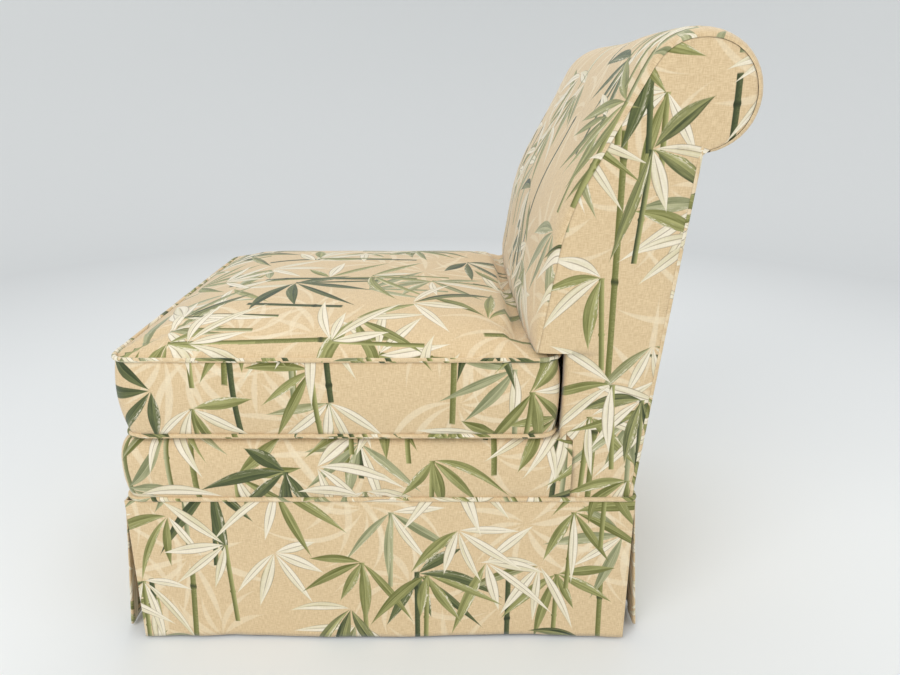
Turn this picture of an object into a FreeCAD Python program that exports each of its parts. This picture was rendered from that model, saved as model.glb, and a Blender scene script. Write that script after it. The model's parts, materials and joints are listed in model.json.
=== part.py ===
import FreeCAD, Part
import math
import os
import re
import Sketcher

# Slipper chair, in millimetres. A hardwood frame with scroll-headed back posts carries a woven
# webbing seat, a foam back that rolls over the top, a loose boxed seat cushion and a skirt
# with kick pleats that reaches the floor. +X is the chair's left side, -Y its front, +Z up.
# The origin is on the floor under the middle of the chair.

SIZES = [
    # Body
    ("body_width", 570.0, "across the covered body, side cover to side cover"),
    ("seat_front", 381.0, "from the origin forward to the front band"),
    ("back_foot", 326.0, "from the origin back to the outside back, at the skirt seam"),
    ("rear_lean", 85.3, "degrees, outside back above the horizontal"),
    ("body_corner", 12.0, "plan radius of the body's front corners, over the cover"),
    ("cover", 1.5, "thickness of the cover fabric"),
    ("padding", 5.0, "cotton felt between wood and cover"),
    # Frame
    ("rail_thick", 25.0, "thickness of rails and posts"),
    ("rail_height", 104.0, "depth of the seat rails"),
    ("post_front", 226.0, "front face of the posts beside the cushion"),
    ("tack_rail", 50.0, "depth of the tacking rails between the posts"),
    ("top_rail_drop", 10.0, "flat underside of the top rail above the roll's middle"),
    ("block_side", 70.0, "leg of a triangular corner block"),
    ("block_high", 40.0, "height of a corner block"),
    # Legs
    ("leg_height", 184.8, "wooden part of a leg"),
    ("leg_top", 50.0, "square of a leg at its top"),
    ("leg_foot", 36.0, "square of a leg at its foot"),
    ("glide_height", 6.0, "nylon glide under a leg"),
    ("glide_radius", 12.0, "glide at its top"),
    ("glide_face", 10.0, "radius of the flat face that meets the floor"),
    ("bolt_radius", 4.0, "hanger bolt that holds a leg"),
    ("bolt_in_leg", 45.0, "depth of the hanger bolt in the leg"),
    ("bolt_clear", 0.15, "clearance round the bolt"),
    ("bolt_wall", 1.0, "room between nut and rail"),
    ("nut_radius", 7.5, "corner radius of the hexagon nut"),
    ("nut_high", 6.5, "height of the nut"),
    # Suspension
    ("strap", 1.2, "thickness of jute webbing"),
    ("strap_width", 50.0, "width of jute webbing"),
    ("strap_pitch_x", 96.0, "spacing of the front-to-back straps"),
    ("strap_pitch_y", 112.0, "spacing of the side-to-side straps"),
    ("strap_middle", 35.0, "middle cross strap, forward of the origin"),
    ("strap_gap", 12.0, "from the tacking rail up to the first level back strap"),
    ("back_pitch", 150.0, "spacing of the upright back straps"),
    ("burlap", 0.8, "thickness of burlap"),
    ("edge_roll", 21.3, "height of the firm edge roll on the rails"),
    ("dust_cloth", 1.2, "cambric under the frame"),
    # Band and skirt
    ("band_seam", 20.0, "from the origin forward to the seam in the side band"),
    ("post_seam", 236.0, "seam between side band and side cover, behind the origin"),
    ("seam_rise", 36.0, "the skirt's welt above the rails' lower edge"),
    ("skirt_cloth", 3.0, "lined skirt panel"),
    ("hem_gap", 5.0, "hem above the floor"),
    ("flare_side", 19.5, "how far a side panel swings out at its hem"),
    ("flare_front", 31.6, "how far the front panel swings out at its hem"),
    ("flare_back", 21.5, "how far the back panel swings out at its hem"),
    ("pleat_gap", 0.5, "from the body's corner to a skirt panel's end"),
    ("pleat_length", 90.0, "length of a pleat insert along each side"),
    ("pleat_cloth", 2.2, "pleat insert, two layers"),
    ("tack_strip", 14.0, "card strip behind the skirt seam"),
    ("welt_radius", 3.1, "fabric-covered cord in a seam"),
    ("seam_clear", 0.1, "a welt stands this far off the cover"),
    # Loose seat cushion
    ("cushion_proud", 1.0, "the boxing stands this far outside the body on each side"),
    ("cushion_short", 15.0, "from the front band back to the boxing"),
    ("cushion_gap", 14.0, "from the boxing back to the posts"),
    ("cushion_corner", 22.0, "plan radius of the cushion's corners"),
    ("cushion_lift", 0.3, "running clearance over the deck"),
    ("cushion_high", 111.5, "bottom welt's middle to top welt's middle"),
    ("cushion_crown", 26.0, "rise of the top between its welts"),
    ("wrap", 8.0, "polyester wrap round the foam core"),
    ("edge_ease", 1.4, "the wrap's edge lies this far under the top welt"),
    ("zip_margin", 36.0, "from each side of the cushion to the zipper in its rear boxing"),
    ("zip_coil", 6.0, "height of the zipper coil"),
    ("coil_proud", 1.5, "coil outside the boxing"),
    ("slider_length", 14.0, "zipper slider along the coil"),
    ("slider_wall", 1.4, "wall of the slider"),
    ("slider_clear", 0.3, "clearance between slider and coil"),
    ("tab_length", 28.0, "pull tab"),
    ("tab_width", 7.0, "pull tab"),
    # Inside back and its roll
    ("seam_y", 183.0, "seam of the inside back at its foot, behind the origin"),
    ("pad_rise", 9.1, "the pad's underside above the cushion's top welt"),
    ("lower_lean", 81.0, "degrees, lower part of the inside back"),
    ("upper_lean", 62.5, "degrees, upper part that runs into the roll"),
    ("bend_radius", 300.0, "bend between the two"),
    ("roll_y", 352.0, "middle of the roll, behind the origin"),
    ("roll_rise", 318.0, "the roll's middle above the pad's underside"),
    ("roll_radius", 66.0, "roll over its cover"),
    ("tuck", 14.0, "degrees, where the pad ends under the roll"),
    ("pad_edge", 24.0, "cover and foam at the side seam"),
    ("pad_crown", 25.0, "crown of the inside back from side to side"),
    ("fold_radius", 16.0, "fold along the pad's foot"),
    ("crest_turn", 133.0, "degrees, where the crowned face runs onto the roll"),
    ("neck_radius", 90.0, "easing between the crowned face and the roll"),
]

doc = FreeCAD.newDocument("slipper_chair")
sizes = doc.addObject("Spreadsheet::Sheet", "Sizes")
for row, (alias, value, meaning) in enumerate(SIZES, start=1):
    sizes.set(f"A{row}", alias)
    sizes.set(f"B{row}", str(value))
    sizes.set(f"C{row}", meaning)
    sizes.setAlias(f"B{row}", alias)
doc.recompute()
ALIASES = {alias for alias, value, meaning in SIZES}

# Rules that several pieces share, written with the sheet's names
HALF = "body_width/2"
RAIL_OUT = "(body_width/2-cover-padding)"
RAIL_IN = "(body_width/2-cover-padding-rail_thick)"
FRONT_OUT = "(seat_front-cover-padding)"
FRONT_IN = "(seat_front-cover-padding-rail_thick)"
RAIL_LOW = "(glide_height+leg_height+dust_cloth)"
RAIL_TOP = f"({RAIL_LOW}+rail_height)"
STRAP_TOP = f"({RAIL_TOP}+2*strap)"
DECK_LOW = f"({STRAP_TOP}+burlap)"
DECK_TOP = f"({DECK_LOW}+edge_roll)"
BAND_TOP = f"({DECK_TOP}+cover)"
LEG_IN = "(rail_thick+nut_radius+bolt_wall)"
POST_INSET = "(pad_edge+burlap+2*strap)"


def rear(height, inset="0"):
    """How far behind the origin the outside back lies at a height."""
    return f"(back_foot+({height}-skirt_seam)/tan(rear_lean)-({inset})/sin(rear_lean))"


BACK_OUT = rear(RAIL_LOW, "cover+padding")
LOWER_FRONT = "(post_seam+cover)"
CUSHION_LOW = f"({BAND_TOP}+cushion_lift)"
WELT_LOW = f"({CUSHION_LOW}+welt_radius)"
WELT_HIGH = f"({WELT_LOW}+cushion_high)"
BOX_LOW = f"({WELT_LOW}+welt_radius+seam_clear)"
BOX_HIGH = f"({WELT_HIGH}-welt_radius-seam_clear)"
PANEL_INSET = "(cover/2+welt_radius+seam_clear)"

# Places that follow from the sizes. A rule may use their names as it uses a size's name.
WORKED_OUT = [
    ("roll_z", "(pad_bottom+roll_rise)"),
    ("pad_bottom", f"({WELT_HIGH}+pad_rise)"),
    ("skirt_seam", f"({RAIL_LOW}+seam_rise)"),
    ("zip_length", "(cushion_width-2*zip_margin)"),
    ("cushion_width", "(body_width+2*cushion_proud)"),
    ("cushion_front", "(seat_front-cushion_short)"),
    ("cushion_back", "(post_front-cushion_gap)"),
]

nodes = []


def rule(text):
    """A rule for the document: worked-out places are written out and each size gets its sheet."""
    for name, worked_out in WORKED_OUT:
        text = re.sub(rf"\b{name}\b", worked_out, text)
    return re.sub(r"[a-z_]+", lambda m: f"Sizes.{m.group()}" if m.group() in ALIASES else m.group(), text)


def worth(text):
    """A rule's value as a number, for a sketch's first guess."""
    result = sizes.evalExpression(rule(text))
    return float(getattr(result, "Value", result))


def bind(thing, rules):
    for name, text in rules.items():
        thing.setExpression(name, rule(text))
    return thing


def place(thing, x="0", y="0", z="0"):
    return bind(thing, {"Placement.Base.x": x, "Placement.Base.y": y, "Placement.Base.z": z})


def keep(thing, label):
    """Makes a finished object one of the chair's nodes."""
    thing.Label = label
    nodes.append(thing)
    return thing


def block(name, low, size):
    """A rectangular piece from its low corner and its size."""
    piece = doc.addObject("Part::Box", name)
    bind(piece, {"Length": size[0], "Width": size[1], "Height": size[2]})
    return place(piece, *low)


def joined(name, parts):
    piece = doc.addObject("Part::MultiFuse", name)
    piece.Shapes = parts
    return piece


def cut(name, base, tool):
    piece = doc.addObject("Part::Cut", name)
    piece.Base = base
    piece.Tool = tool
    return piece


def group(name, parts):
    """Loose identical pieces that share one node."""
    piece = doc.addObject("Part::Compound", name)
    piece.Links = parts
    return piece


def new_sketch(body, name, plane):
    sketch = body.newObject("Sketcher::SketchObject", f"{body.Name}_{name}")
    origin_plane = [each for each in body.Origin.OriginFeatures if each.Role == plane][0]
    sketch.AttachmentSupport = [(origin_plane, "")]
    sketch.MapMode = "FlatFace"
    return sketch


def hold(sketch, kind, where, text, guess=None):
    """A dimension of a sketch, bound to a rule."""
    number = worth(text) if guess is None else guess
    index = sketch.addConstraint(Sketcher.Constraint(kind, *where, number))
    sketch.setExpression(f"Constraints[{index}]", rule(text))
    return index


def hold_point(sketch, geometry, end, u, v):
    hold(sketch, "DistanceX", (-1, 1, geometry, end), u)
    hold(sketch, "DistanceY", (-1, 1, geometry, end), v)


def outline(body, name, plane, corners):
    return fill_outline(new_sketch(body, name, plane), corners)


def fill_outline(sketch, corners):
    """Draws a closed outline. Each corner is (u, v) or, when it is rounded, (u, v, radius)."""
    spots = [FreeCAD.Vector(worth(corner[0]), worth(corner[1]), 0) for corner in corners]
    count = len(corners)
    arcs = {}
    for i, corner in enumerate(corners):
        if len(corner) == 3:
            arcs[i] = round_corner(spots[i - 1], spots[i], spots[(i + 1) % count], worth(corner[2]))
    for i in range(count):
        start = arcs[i][1] if i in arcs else spots[i]
        following = (i + 1) % count
        end = arcs[following][0] if following in arcs else spots[following]
        sketch.addGeometry(Part.LineSegment(start, end), False)
    for i in range(count):
        if i not in arcs:
            sketch.addConstraint(Sketcher.Constraint("Coincident", i - 1 if i else count - 1, 2, i, 1))
            hold_point(sketch, i, 1, *corners[i])
            continue
        before = i - 1 if i else count - 1
        arc = sketch.addGeometry(arcs[i][2], False)
        first, last = (1, 2) if arcs[i][3] else (2, 1)
        sketch.addConstraint(Sketcher.Constraint("Tangent", before, 2, arc, first))
        sketch.addConstraint(Sketcher.Constraint("Tangent", arc, last, i, 1))
        hold(sketch, "Radius", (arc,), corners[i][2])
        apex = sketch.addGeometry(Part.Point(spots[i]), True)
        sketch.addConstraint(Sketcher.Constraint("PointOnObject", apex, 1, before))
        sketch.addConstraint(Sketcher.Constraint("PointOnObject", apex, 1, i))
        hold_point(sketch, apex, 1, *corners[i][:2])
    return sketch


def round_corner(before, corner, after, radius):
    """Tangent points, arc and sense of turn of a rounded corner."""
    arriving = (corner - before).normalize()
    leaving = (after - corner).normalize()
    left_turn = arriving.cross(leaving).z > 0
    from_corner = radius * math.tan(arriving.getAngle(leaving) / 2)
    start = corner - arriving * from_corner
    end = corner + leaving * from_corner
    inward = FreeCAD.Vector(-arriving.y, arriving.x, 0) * (1 if left_turn else -1)
    centre = start + inward * radius
    middle = centre + (corner - centre).normalize() * radius
    return start, end, Part.Arc(start, middle, end), left_turn


def prism(name, plane, corners, start, length):
    """A closed outline made solid, from a start along its plane's own axis, X, Y or Z."""
    body = doc.addObject("PartDesign::Body", name)
    return pad_sketch(body, outline(body, "form", plane, corners), plane, start, length)


def pad_sketch(body, sketch, plane, start, length):
    """Pads a sketch along X, Y or Z; a sketch on XZ faces -Y, so it starts at the far end."""
    offset = f"-(({start})+({length}))" if plane == "XZ_Plane" else start
    bind(sketch, {".AttachmentOffset.Base.z": offset})
    pad = body.newObject("PartDesign::Pad", f"{body.Name}_pad")
    pad.Profile = sketch
    bind(pad, {"Length": length})
    body.Tip = pad
    return body


def cylinder(name, radius, height, x, y, z):
    piece = doc.addObject("Part::Cylinder", name)
    bind(piece, {"Radius": radius, "Height": height})
    return place(piece, x, y, z)


def rectangle(half, front, back, corner, rear_corner=None):
    rear_corner = rear_corner or corner
    return [(f"-({half})", f"-({front})", corner), (half, f"-({front})", corner),
            (half, back, rear_corner), (f"-({half})", back, rear_corner)]


def u_strip(name, outside, inside, rear_end, low, height):
    """A strip round the front and both sides, open at the back.

    outside and inside are (half width, front) and, where the corners are rounded, their radius.
    """
    (out_x, out_front, *corner), (in_x, in_front, *inner_corner) = outside, inside
    corners = [(f"-({out_x})", rear_end), (f"-({out_x})", f"-({out_front})", *corner),
               (out_x, f"-({out_front})", *corner), (out_x, rear_end), (in_x, rear_end),
               (in_x, f"-({in_front})", *inner_corner), (f"-({in_x})", f"-({in_front})", *inner_corner),
               (f"-({in_x})", rear_end)]
    return prism(name, "XY_Plane", corners, low, height)


def welt_ring(name, half, front, back, corner, height, rear_corner=None):
    """A piped cord, six-sided in section, along a rectangle with rounded corners."""
    body = doc.addObject("PartDesign::Body", name)
    path = outline(body, "path", "XY_Plane", rectangle(half, front, back, corner, rear_corner))
    bind(path, {".AttachmentOffset.Base.z": height})
    turns = [f"({30 + 60 * i})" for i in range(6)]
    section = outline(body, "section", "XZ_Plane",
                      [(f"{half}+welt_radius*cos{turn}", f"{height}+welt_radius*sin{turn}")
                       for turn in turns])
    doc.recompute()
    pipe = body.newObject("PartDesign::AdditivePipe", f"{name}_pipe")
    pipe.Profile = section
    pipe.Spine = (path, [f"Edge{i + 1}" for i in range(8)])
    body.Tip = pipe
    return body


def back_curve(sketch, inset, roll_start):
    """Adds the inside back's line at an inset from the seam: lower line, bend, upper line, roll.

    roll_start is a rule for how far behind the roll's middle the arc begins under the roll.
    """
    lower, upper = math.radians(worth("lower_lean")), math.radians(worth("upper_lean"))
    depth, radius = worth(inset), worth(f"roll_radius-({inset})")
    bend = worth(f"bend_radius-({inset})")
    foot_y, foot_z = f"seam_y+({inset})/sin(lower_lean)", "pad_bottom"
    foot = FreeCAD.Vector(worth(foot_y), worth(foot_z), 0)
    middle = FreeCAD.Vector(worth("roll_y"), worth("roll_z"), 0)
    along_low = FreeCAD.Vector(math.cos(lower), math.sin(lower), 0)
    along_up = FreeCAD.Vector(math.cos(upper), math.sin(upper), 0)
    touch = middle + FreeCAD.Vector(-along_up.y, along_up.x, 0) * radius
    reach = (touch - foot).cross(along_up).z / along_low.cross(along_up).z
    apex = foot + along_low * reach
    from_apex = bend * math.tan((lower - upper) / 2)
    bend_low, bend_high = apex - along_low * from_apex, apex + along_up * from_apex
    bend_middle = bend_low + FreeCAD.Vector(along_low.y, -along_low.x, 0) * bend
    half_way = bend_middle + (apex - bend_middle).normalize() * bend
    start_x = worth(roll_start)
    roll_from = middle + FreeCAD.Vector(start_x, -math.sqrt(radius ** 2 - start_x ** 2), 0)
    rear_most = middle + FreeCAD.Vector(radius, 0, 0)
    sketch.addGeometry([Part.LineSegment(foot, bend_low), Part.Arc(bend_low, half_way, bend_high),
                        Part.LineSegment(bend_high, touch), Part.Arc(roll_from, rear_most, touch)], False)
    line, turn, upper_line, roll = range(4)
    for pair in ((line, 2, turn, 2), (turn, 1, upper_line, 1), (upper_line, 2, roll, 2)):
        sketch.addConstraint(Sketcher.Constraint("Tangent", *pair))
    hold_point(sketch, line, 1, foot_y, foot_z)
    hold(sketch, "Angle", (line,), "lower_lean", lower)
    hold(sketch, "Angle", (upper_line,), "upper_lean", upper)
    hold(sketch, "Radius", (turn,), f"bend_radius-({inset})", bend)
    hold(sketch, "Radius", (roll,), f"roll_radius-({inset})", radius)
    hold_point(sketch, roll, 3, "roll_y", "roll_z")
    return line, turn, upper_line, roll


def back_side(name, inset, rear_inset, front_points, start, length):
    """A plate with the back's side outline, foot to roll. front_points lead down its front."""
    body = doc.addObject("PartDesign::Body", name)
    sketch = new_sketch(body, "form", "YZ_Plane")
    neck = worth(rear("roll_z-roll_radius", rear_inset)) - worth("roll_y")
    line, turn, upper_line, roll = back_curve(sketch, inset, str(neck))
    foot = sketch.Geometry[line].StartPoint
    spots = [FreeCAD.Vector(worth(y), worth(z), 0) for y, z in front_points]
    low = FreeCAD.Vector(worth(rear(RAIL_LOW, rear_inset)), worth(RAIL_LOW), 0)
    chain = [foot] + spots + [low, sketch.Geometry[roll].StartPoint]
    first = len(sketch.Geometry)
    for start_point, end_point in zip(chain, chain[1:]):
        sketch.addGeometry(Part.LineSegment(start_point, end_point), False)
    last = len(sketch.Geometry) - 1
    sketch.addConstraint(Sketcher.Constraint("Coincident", line, 1, first, 1))
    for i, point in enumerate(front_points):
        sketch.addConstraint(Sketcher.Constraint("Coincident", first + i, 2, first + i + 1, 1))
        hold_point(sketch, first + i + 1, 1, *point)
    sketch.addConstraint(Sketcher.Constraint("Coincident", last - 1, 2, last, 1))
    sketch.addConstraint(Sketcher.Constraint("Coincident", last, 2, roll, 1))
    hold_point(sketch, last, 1, rear(RAIL_LOW, rear_inset), RAIL_LOW)
    hold(sketch, "Angle", (last,), "rear_lean", math.radians(worth("rear_lean")))
    return pad_sketch(body, sketch, "YZ_Plane", start, length)


def along_back(name, outer, inner, left, right, stretch):
    """A plain layer swept over the inside back, from one inset to another.

    stretch is "face" for the part below the roll or "roll" for the roll alone.
    """
    body = doc.addObject("PartDesign::Body", name)
    path = new_sketch(body, "path", "YZ_Plane")
    line, turn, upper_line, roll = back_curve(path, inner, f"(roll_radius-({inner}))*sin(tuck)")
    hold(path, "DistanceX", (-1, 1, roll, 1), f"roll_y+(roll_radius-({inner}))*sin(tuck)")
    stretches = {"face": (line, "lower_lean", (1, 2, 3)), "roll": (roll, "tuck-180", (4,))}
    geometry, lean, edges = stretches[stretch]
    for axis, kind in (("y", "DistanceX"), ("z", "DistanceY")):
        index = path.addConstraint(Sketcher.Constraint(kind, -1, 1, geometry, 1, 1.0))
        path.setDriving(index, False)
        path.renameConstraint(index, f"start_{axis}")
    doc.recompute()
    section = square_to_back(body, "section", lean)
    for axis in "yz":
        section.setExpression(f".AttachmentOffset.Base.{axis}", f"{path.Name}.Constraints.start_{axis}")
    thick = f"({inner})-({outer})"
    corners = [(left, "0"), (right, "0"), (right, thick), (left, thick)]
    fill_outline(section, corners)
    doc.recompute()
    pipe = body.newObject("PartDesign::AdditivePipe", f"{name}_pipe")
    pipe.Profile = section
    pipe.Spine = (path, [f"Edge{edge}" for edge in edges])
    body.Tip = pipe
    return body


def square_to_back(body, name, lean):
    """A sketch across the back, square to a direction that leans; its v axis points out of the back."""
    sketch = new_sketch(body, name, "XY_Plane")
    turn = FreeCAD.Rotation(FreeCAD.Vector(1, 0, 0), 90)
    sketch.AttachmentOffset = FreeCAD.Placement(FreeCAD.Vector(), turn)
    bind(sketch, {".AttachmentOffset.Rotation.Angle": f"90+{lean}"})
    return sketch


# Frame: seat rails
keep(block("front_rail", (f"-{RAIL_OUT}", f"-{FRONT_OUT}", RAIL_LOW),
           (f"2*{RAIL_OUT}", "rail_thick", "rail_height")), "front_rail")
keep(block("back_rail", (f"-{RAIL_IN}", f"{BACK_OUT}-rail_thick", RAIL_LOW),
           (f"2*{RAIL_IN}", "rail_thick", "rail_height")), "back_rail")
SIDES = (("left", 1), ("right", -1))


def side_low(sign, outer, inner):
    """Low X of something that lies between two distances from the middle, on one side."""
    return inner if sign > 0 else f"-{outer}"


for side, sign in SIDES:
    keep(block(f"side_rail_{side}", (side_low(sign, RAIL_OUT, RAIL_IN), f"-{FRONT_IN}", RAIL_LOW),
               ("rail_thick", f"post_front+{FRONT_IN}", "rail_height")), f"side_rail_{side}")

# Frame: posts sawn from plank with a scroll head, and the rails between them
for side, sign in SIDES:
    low_x = side_low(sign, RAIL_OUT, RAIL_IN)
    post = back_side(f"back_post_{side}", POST_INSET, "cover+padding",
                     [("post_front", "pad_bottom"), ("post_front", RAIL_LOW)], low_x, "rail_thick")
    keep(post, f"back_post_{side}")
TACK_Y = f"(seam_y+{POST_INSET}/sin(lower_lean))"
keep(prism("back_tacking_rail", "YZ_Plane",
           [(TACK_Y, "pad_bottom"), (f"{TACK_Y}+rail_thick", "pad_bottom"),
            (f"{TACK_Y}+rail_thick+tack_rail/tan(lower_lean)", "pad_bottom+tack_rail"),
            (f"{TACK_Y}+tack_rail/tan(lower_lean)", "pad_bottom+tack_rail")],
           f"-{RAIL_IN}", f"2*{RAIL_IN}"), "back_tacking_rail")
keep(block("stay_rail", (f"-{RAIL_IN}", LOWER_FRONT, DECK_LOW),
           (f"2*{RAIL_IN}", "rail_thick", "tack_rail")), "stay_rail")
HEAD = f"(roll_radius-{POST_INSET})"
top_round = doc.addObject("Part::Cylinder", "top_rail_round")
bind(top_round, {"Radius": HEAD, "Height": f"2*{RAIL_IN}"})
top_round.Placement.Rotation = FreeCAD.Rotation(FreeCAD.Vector(0, 1, 0), 90)
place(top_round, f"-{RAIL_IN}", "roll_y", "roll_z")
top_room = block("top_rail_room", (f"-{RAIL_IN}", f"roll_y-{HEAD}", "roll_z+top_rail_drop"),
                 (f"2*{RAIL_IN}", f"2*{HEAD}", HEAD))
top_rail = doc.addObject("Part::MultiCommon", "top_rail_form")
top_rail.Shapes = [top_round, top_room]
keep(top_rail, "back_top_rail")

# Legs on hanger bolts that pass up through glued corner blocks
leg_places = {"front": f"-({FRONT_OUT}-{LEG_IN})", "back": f"{BACK_OUT}-{LEG_IN}"}
LEG_X = f"({RAIL_OUT}-{LEG_IN})"
BLOCK_TOP = f"({RAIL_LOW}+block_high)"
blocks, glides, bolts = [], [], []
for end, leg_y in leg_places.items():
    for side, sign in SIDES:
        tag = f"{end}_{side}"
        leg_x = LEG_X if sign > 0 else f"-{LEG_X}"
        leg = doc.addObject("PartDesign::Body", f"leg_form_{tag}")
        across = "leg_top/2"
        square = outline(leg, "top", "XY_Plane",
                         [(f"{leg_x}-{across}", f"{leg_y}-{across}"),
                          (f"{leg_x}+{across}", f"{leg_y}-{across}"),
                          (f"{leg_x}+{across}", f"{leg_y}+{across}"),
                          (f"{leg_x}-{across}", f"{leg_y}+{across}")])
        bind(square, {".AttachmentOffset.Base.z": "glide_height+leg_height"})
        taper = leg.newObject("PartDesign::Pad", f"leg_taper_{tag}")
        taper.Profile = square
        taper.Reversed = True
        bind(taper, {"Length": "leg_height", "TaperAngle": "-1*atan((leg_top-leg_foot)/2/leg_height)"})
        leg.Tip = taper
        bore = cylinder(f"bolt_bore_{tag}", "bolt_radius+bolt_clear", f"bolt_in_leg+{BLOCK_TOP}",
                        leg_x, leg_y, "glide_height+leg_height-bolt_in_leg")
        keep(cut(f"leg_{tag}", leg, bore), f"leg_{tag}")
        corner_x = RAIL_IN if sign > 0 else f"-{RAIL_IN}"
        corner_y = f"-{FRONT_IN}" if end == "front" else f"{BACK_OUT}-rail_thick"
        toward_y = "+block_side" if end == "front" else "-block_side"
        toward_x = "-block_side" if sign > 0 else "+block_side"
        wedge = prism(f"block_form_{tag}", "XY_Plane",
                      [(corner_x, corner_y), (f"{corner_x}{toward_x}", corner_y),
                       (corner_x, f"{corner_y}{toward_y}")], RAIL_LOW, "block_high")
        blocks.append(cut(f"corner_block_{tag}", wedge, bore))
        glide = doc.addObject("Part::Cone", f"glide_{tag}")
        bind(glide, {"Radius1": "glide_face", "Radius2": "glide_radius", "Height": "glide_height"})
        glides.append(place(glide, leg_x, leg_y))
        shank = cylinder(f"bolt_shank_{tag}", "bolt_radius", f"bolt_in_leg+dust_cloth+block_high",
                         leg_x, leg_y, "glide_height+leg_height-bolt_in_leg")
        nut = doc.addObject("Part::Prism", f"bolt_nut_{tag}")
        nut.Polygon = 6
        bind(nut, {"Circumradius": "nut_radius", "Height": "nut_high"})
        place(nut, leg_x, leg_y, BLOCK_TOP)
        bolts.append(joined(f"leg_bolt_{tag}", [shank, nut]))
keep(group("corner_block_group", blocks), "corner_blocks")
keep(group("glide_group", glides), "leg_glides")
keep(group("bolt_group", bolts), "leg_bolts")
dust_plate = block("dust_plate", (f"-{RAIL_OUT}", f"-{FRONT_OUT}", "glide_height+leg_height"),
                   (f"2*{RAIL_OUT}", f"{FRONT_OUT}+{BACK_OUT}", "dust_cloth"))
bore_group = joined("bolt_bores", [doc.getObject(f"bolt_bore_{end}_{side}")
                                   for end in leg_places for side, sign in SIDES])
keep(cut("dust_cover_cut", dust_plate, bore_group), "dust_cover")


# Seat webbing: straps woven over and under each other, tacked flat on the rails
def strap_profile(places, overs, first_end, last_end):
    """Edge of a woven strap: it lies high where it passes over a crossing strap."""
    points = [(first_end, RAIL_TOP)]
    for at, over in zip(places, overs):
        level = f"{RAIL_TOP}+strap" if over else RAIL_TOP
        points.append((f"{at}-strap_width/2-strap", level))
        points.append((f"{at}+strap_width/2+strap", level))
    points.append((last_end, RAIL_TOP))
    return points + [(at, f"{level}+strap") for at, level in reversed(points)]


STRAP_X = [f"({i}*strap_pitch_x)" for i in (-2, -1, 0, 1, 2)]
STRAP_Y = [f"({i}*strap_pitch_y-strap_middle)" for i in (-2, -1, 0, 1, 2)]
long_straps, cross_straps = [], []
for i, across in enumerate(STRAP_X):
    overs = [(i + j) % 2 == 0 for j in range(len(STRAP_Y))]
    edge = strap_profile(STRAP_Y, overs, f"-{FRONT_OUT}", BACK_OUT)
    long_straps.append(prism(f"long_strap_{i}", "YZ_Plane", edge, f"{across}-strap_width/2", "strap_width"))
for j, along in enumerate(STRAP_Y):
    overs = [(i + j) % 2 == 1 for i in range(len(STRAP_X))]
    edge = strap_profile(STRAP_X, overs, f"-{RAIL_OUT}", RAIL_OUT)
    cross_straps.append(prism(f"cross_strap_{j}", "XZ_Plane", edge, f"{along}-strap_width/2", "strap_width"))
keep(group("long_straps", long_straps), "seat_webbing_long")
keep(group("cross_straps", cross_straps), "seat_webbing_cross")

# Seat deck over the webbing
keep(block("seat_burlap", (f"-{RAIL_IN}", f"-{FRONT_OUT}", STRAP_TOP),
           (f"2*{RAIL_IN}", f"{FRONT_OUT}+post_seam", "burlap")), "seat_burlap")
keep(block("deck_pad", (f"-{RAIL_IN}", f"-{FRONT_IN}", DECK_LOW),
           (f"2*{RAIL_IN}", f"{FRONT_IN}+post_seam", "edge_roll")), "deck_pad")
keep(block("deck_cloth", (f"-{RAIL_IN}", f"-{FRONT_IN}", DECK_TOP),
           (f"2*{RAIL_IN}", f"{FRONT_IN}+post_seam", "cover")), "deck_cloth")
UNDER_COVER = (f"{HALF}-cover", "seat_front-cover", "body_corner-cover")
keep(u_strip("edge_roll_form", UNDER_COVER, (RAIL_IN, FRONT_IN), "post_front", DECK_LOW, "edge_roll"),
     "edge_roll")
keep(u_strip("band_felt", UNDER_COVER, (RAIL_OUT, FRONT_OUT), "post_front", RAIL_LOW,
             f"{DECK_LOW}-{RAIL_LOW}"), "band_padding")

# Band covers: the front one turns both corners and ends at the side seams
band_front = u_strip("band_front_form", (HALF, "seat_front", "body_corner"), UNDER_COVER,
                     "-band_seam", RAIL_LOW, f"{BAND_TOP}-{RAIL_LOW}")
band_flange = u_strip("band_front_flange", UNDER_COVER, (RAIL_IN, FRONT_IN), "-band_seam",
                      DECK_TOP, "cover")
keep(joined("band_front_skin", [band_front, band_flange]), "band_front_cover")
for side, sign in SIDES:
    low_x = side_low(sign, f"({HALF})", f"({HALF}-cover)")
    wall = block(f"band_wall_{side}", (low_x, "-band_seam", RAIL_LOW),
                 ("cover", "band_seam+post_seam", f"{BAND_TOP}-{RAIL_LOW}"))
    low_x = side_low(sign, f"({HALF}-cover)", RAIL_IN)
    flange = block(f"band_flange_{side}", (low_x, "-band_seam", DECK_TOP),
                   (f"{HALF}-cover-{RAIL_IN}", "band_seam+post_front", "cover"))
    keep(joined(f"band_skin_{side}", [wall, flange]), f"band_cover_{side}")

# Inside back: lines of its side view, each given by its distance from the roll's middle and by
# the angle of its normal
UPPER_LINE = ("roll_radius", "(90+upper_lean)")
LOWER_LINE = ("((roll_y-seam_y)*sin(lower_lean)-(roll_z-pad_bottom)*cos(lower_lean))", "(90+lower_lean)")
CREST_LINE = ("roll_radius", "crest_turn")


def meet(first, second, first_out, second_out):
    """Where two such lines cross, each moved outwards, as distances from the roll's middle."""
    (first_off, first_turn), (second_off, second_turn) = first, second
    near, far = f"({first_off}+{first_out})", f"({second_off}+{second_out})"
    between = f"sin({second_turn}-{first_turn})"
    return (f"(({near}*sin({second_turn})-{far}*sin({first_turn}))/{between})",
            f"(({far}*cos({first_turn})-{near}*cos({second_turn}))/{between})")


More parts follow.
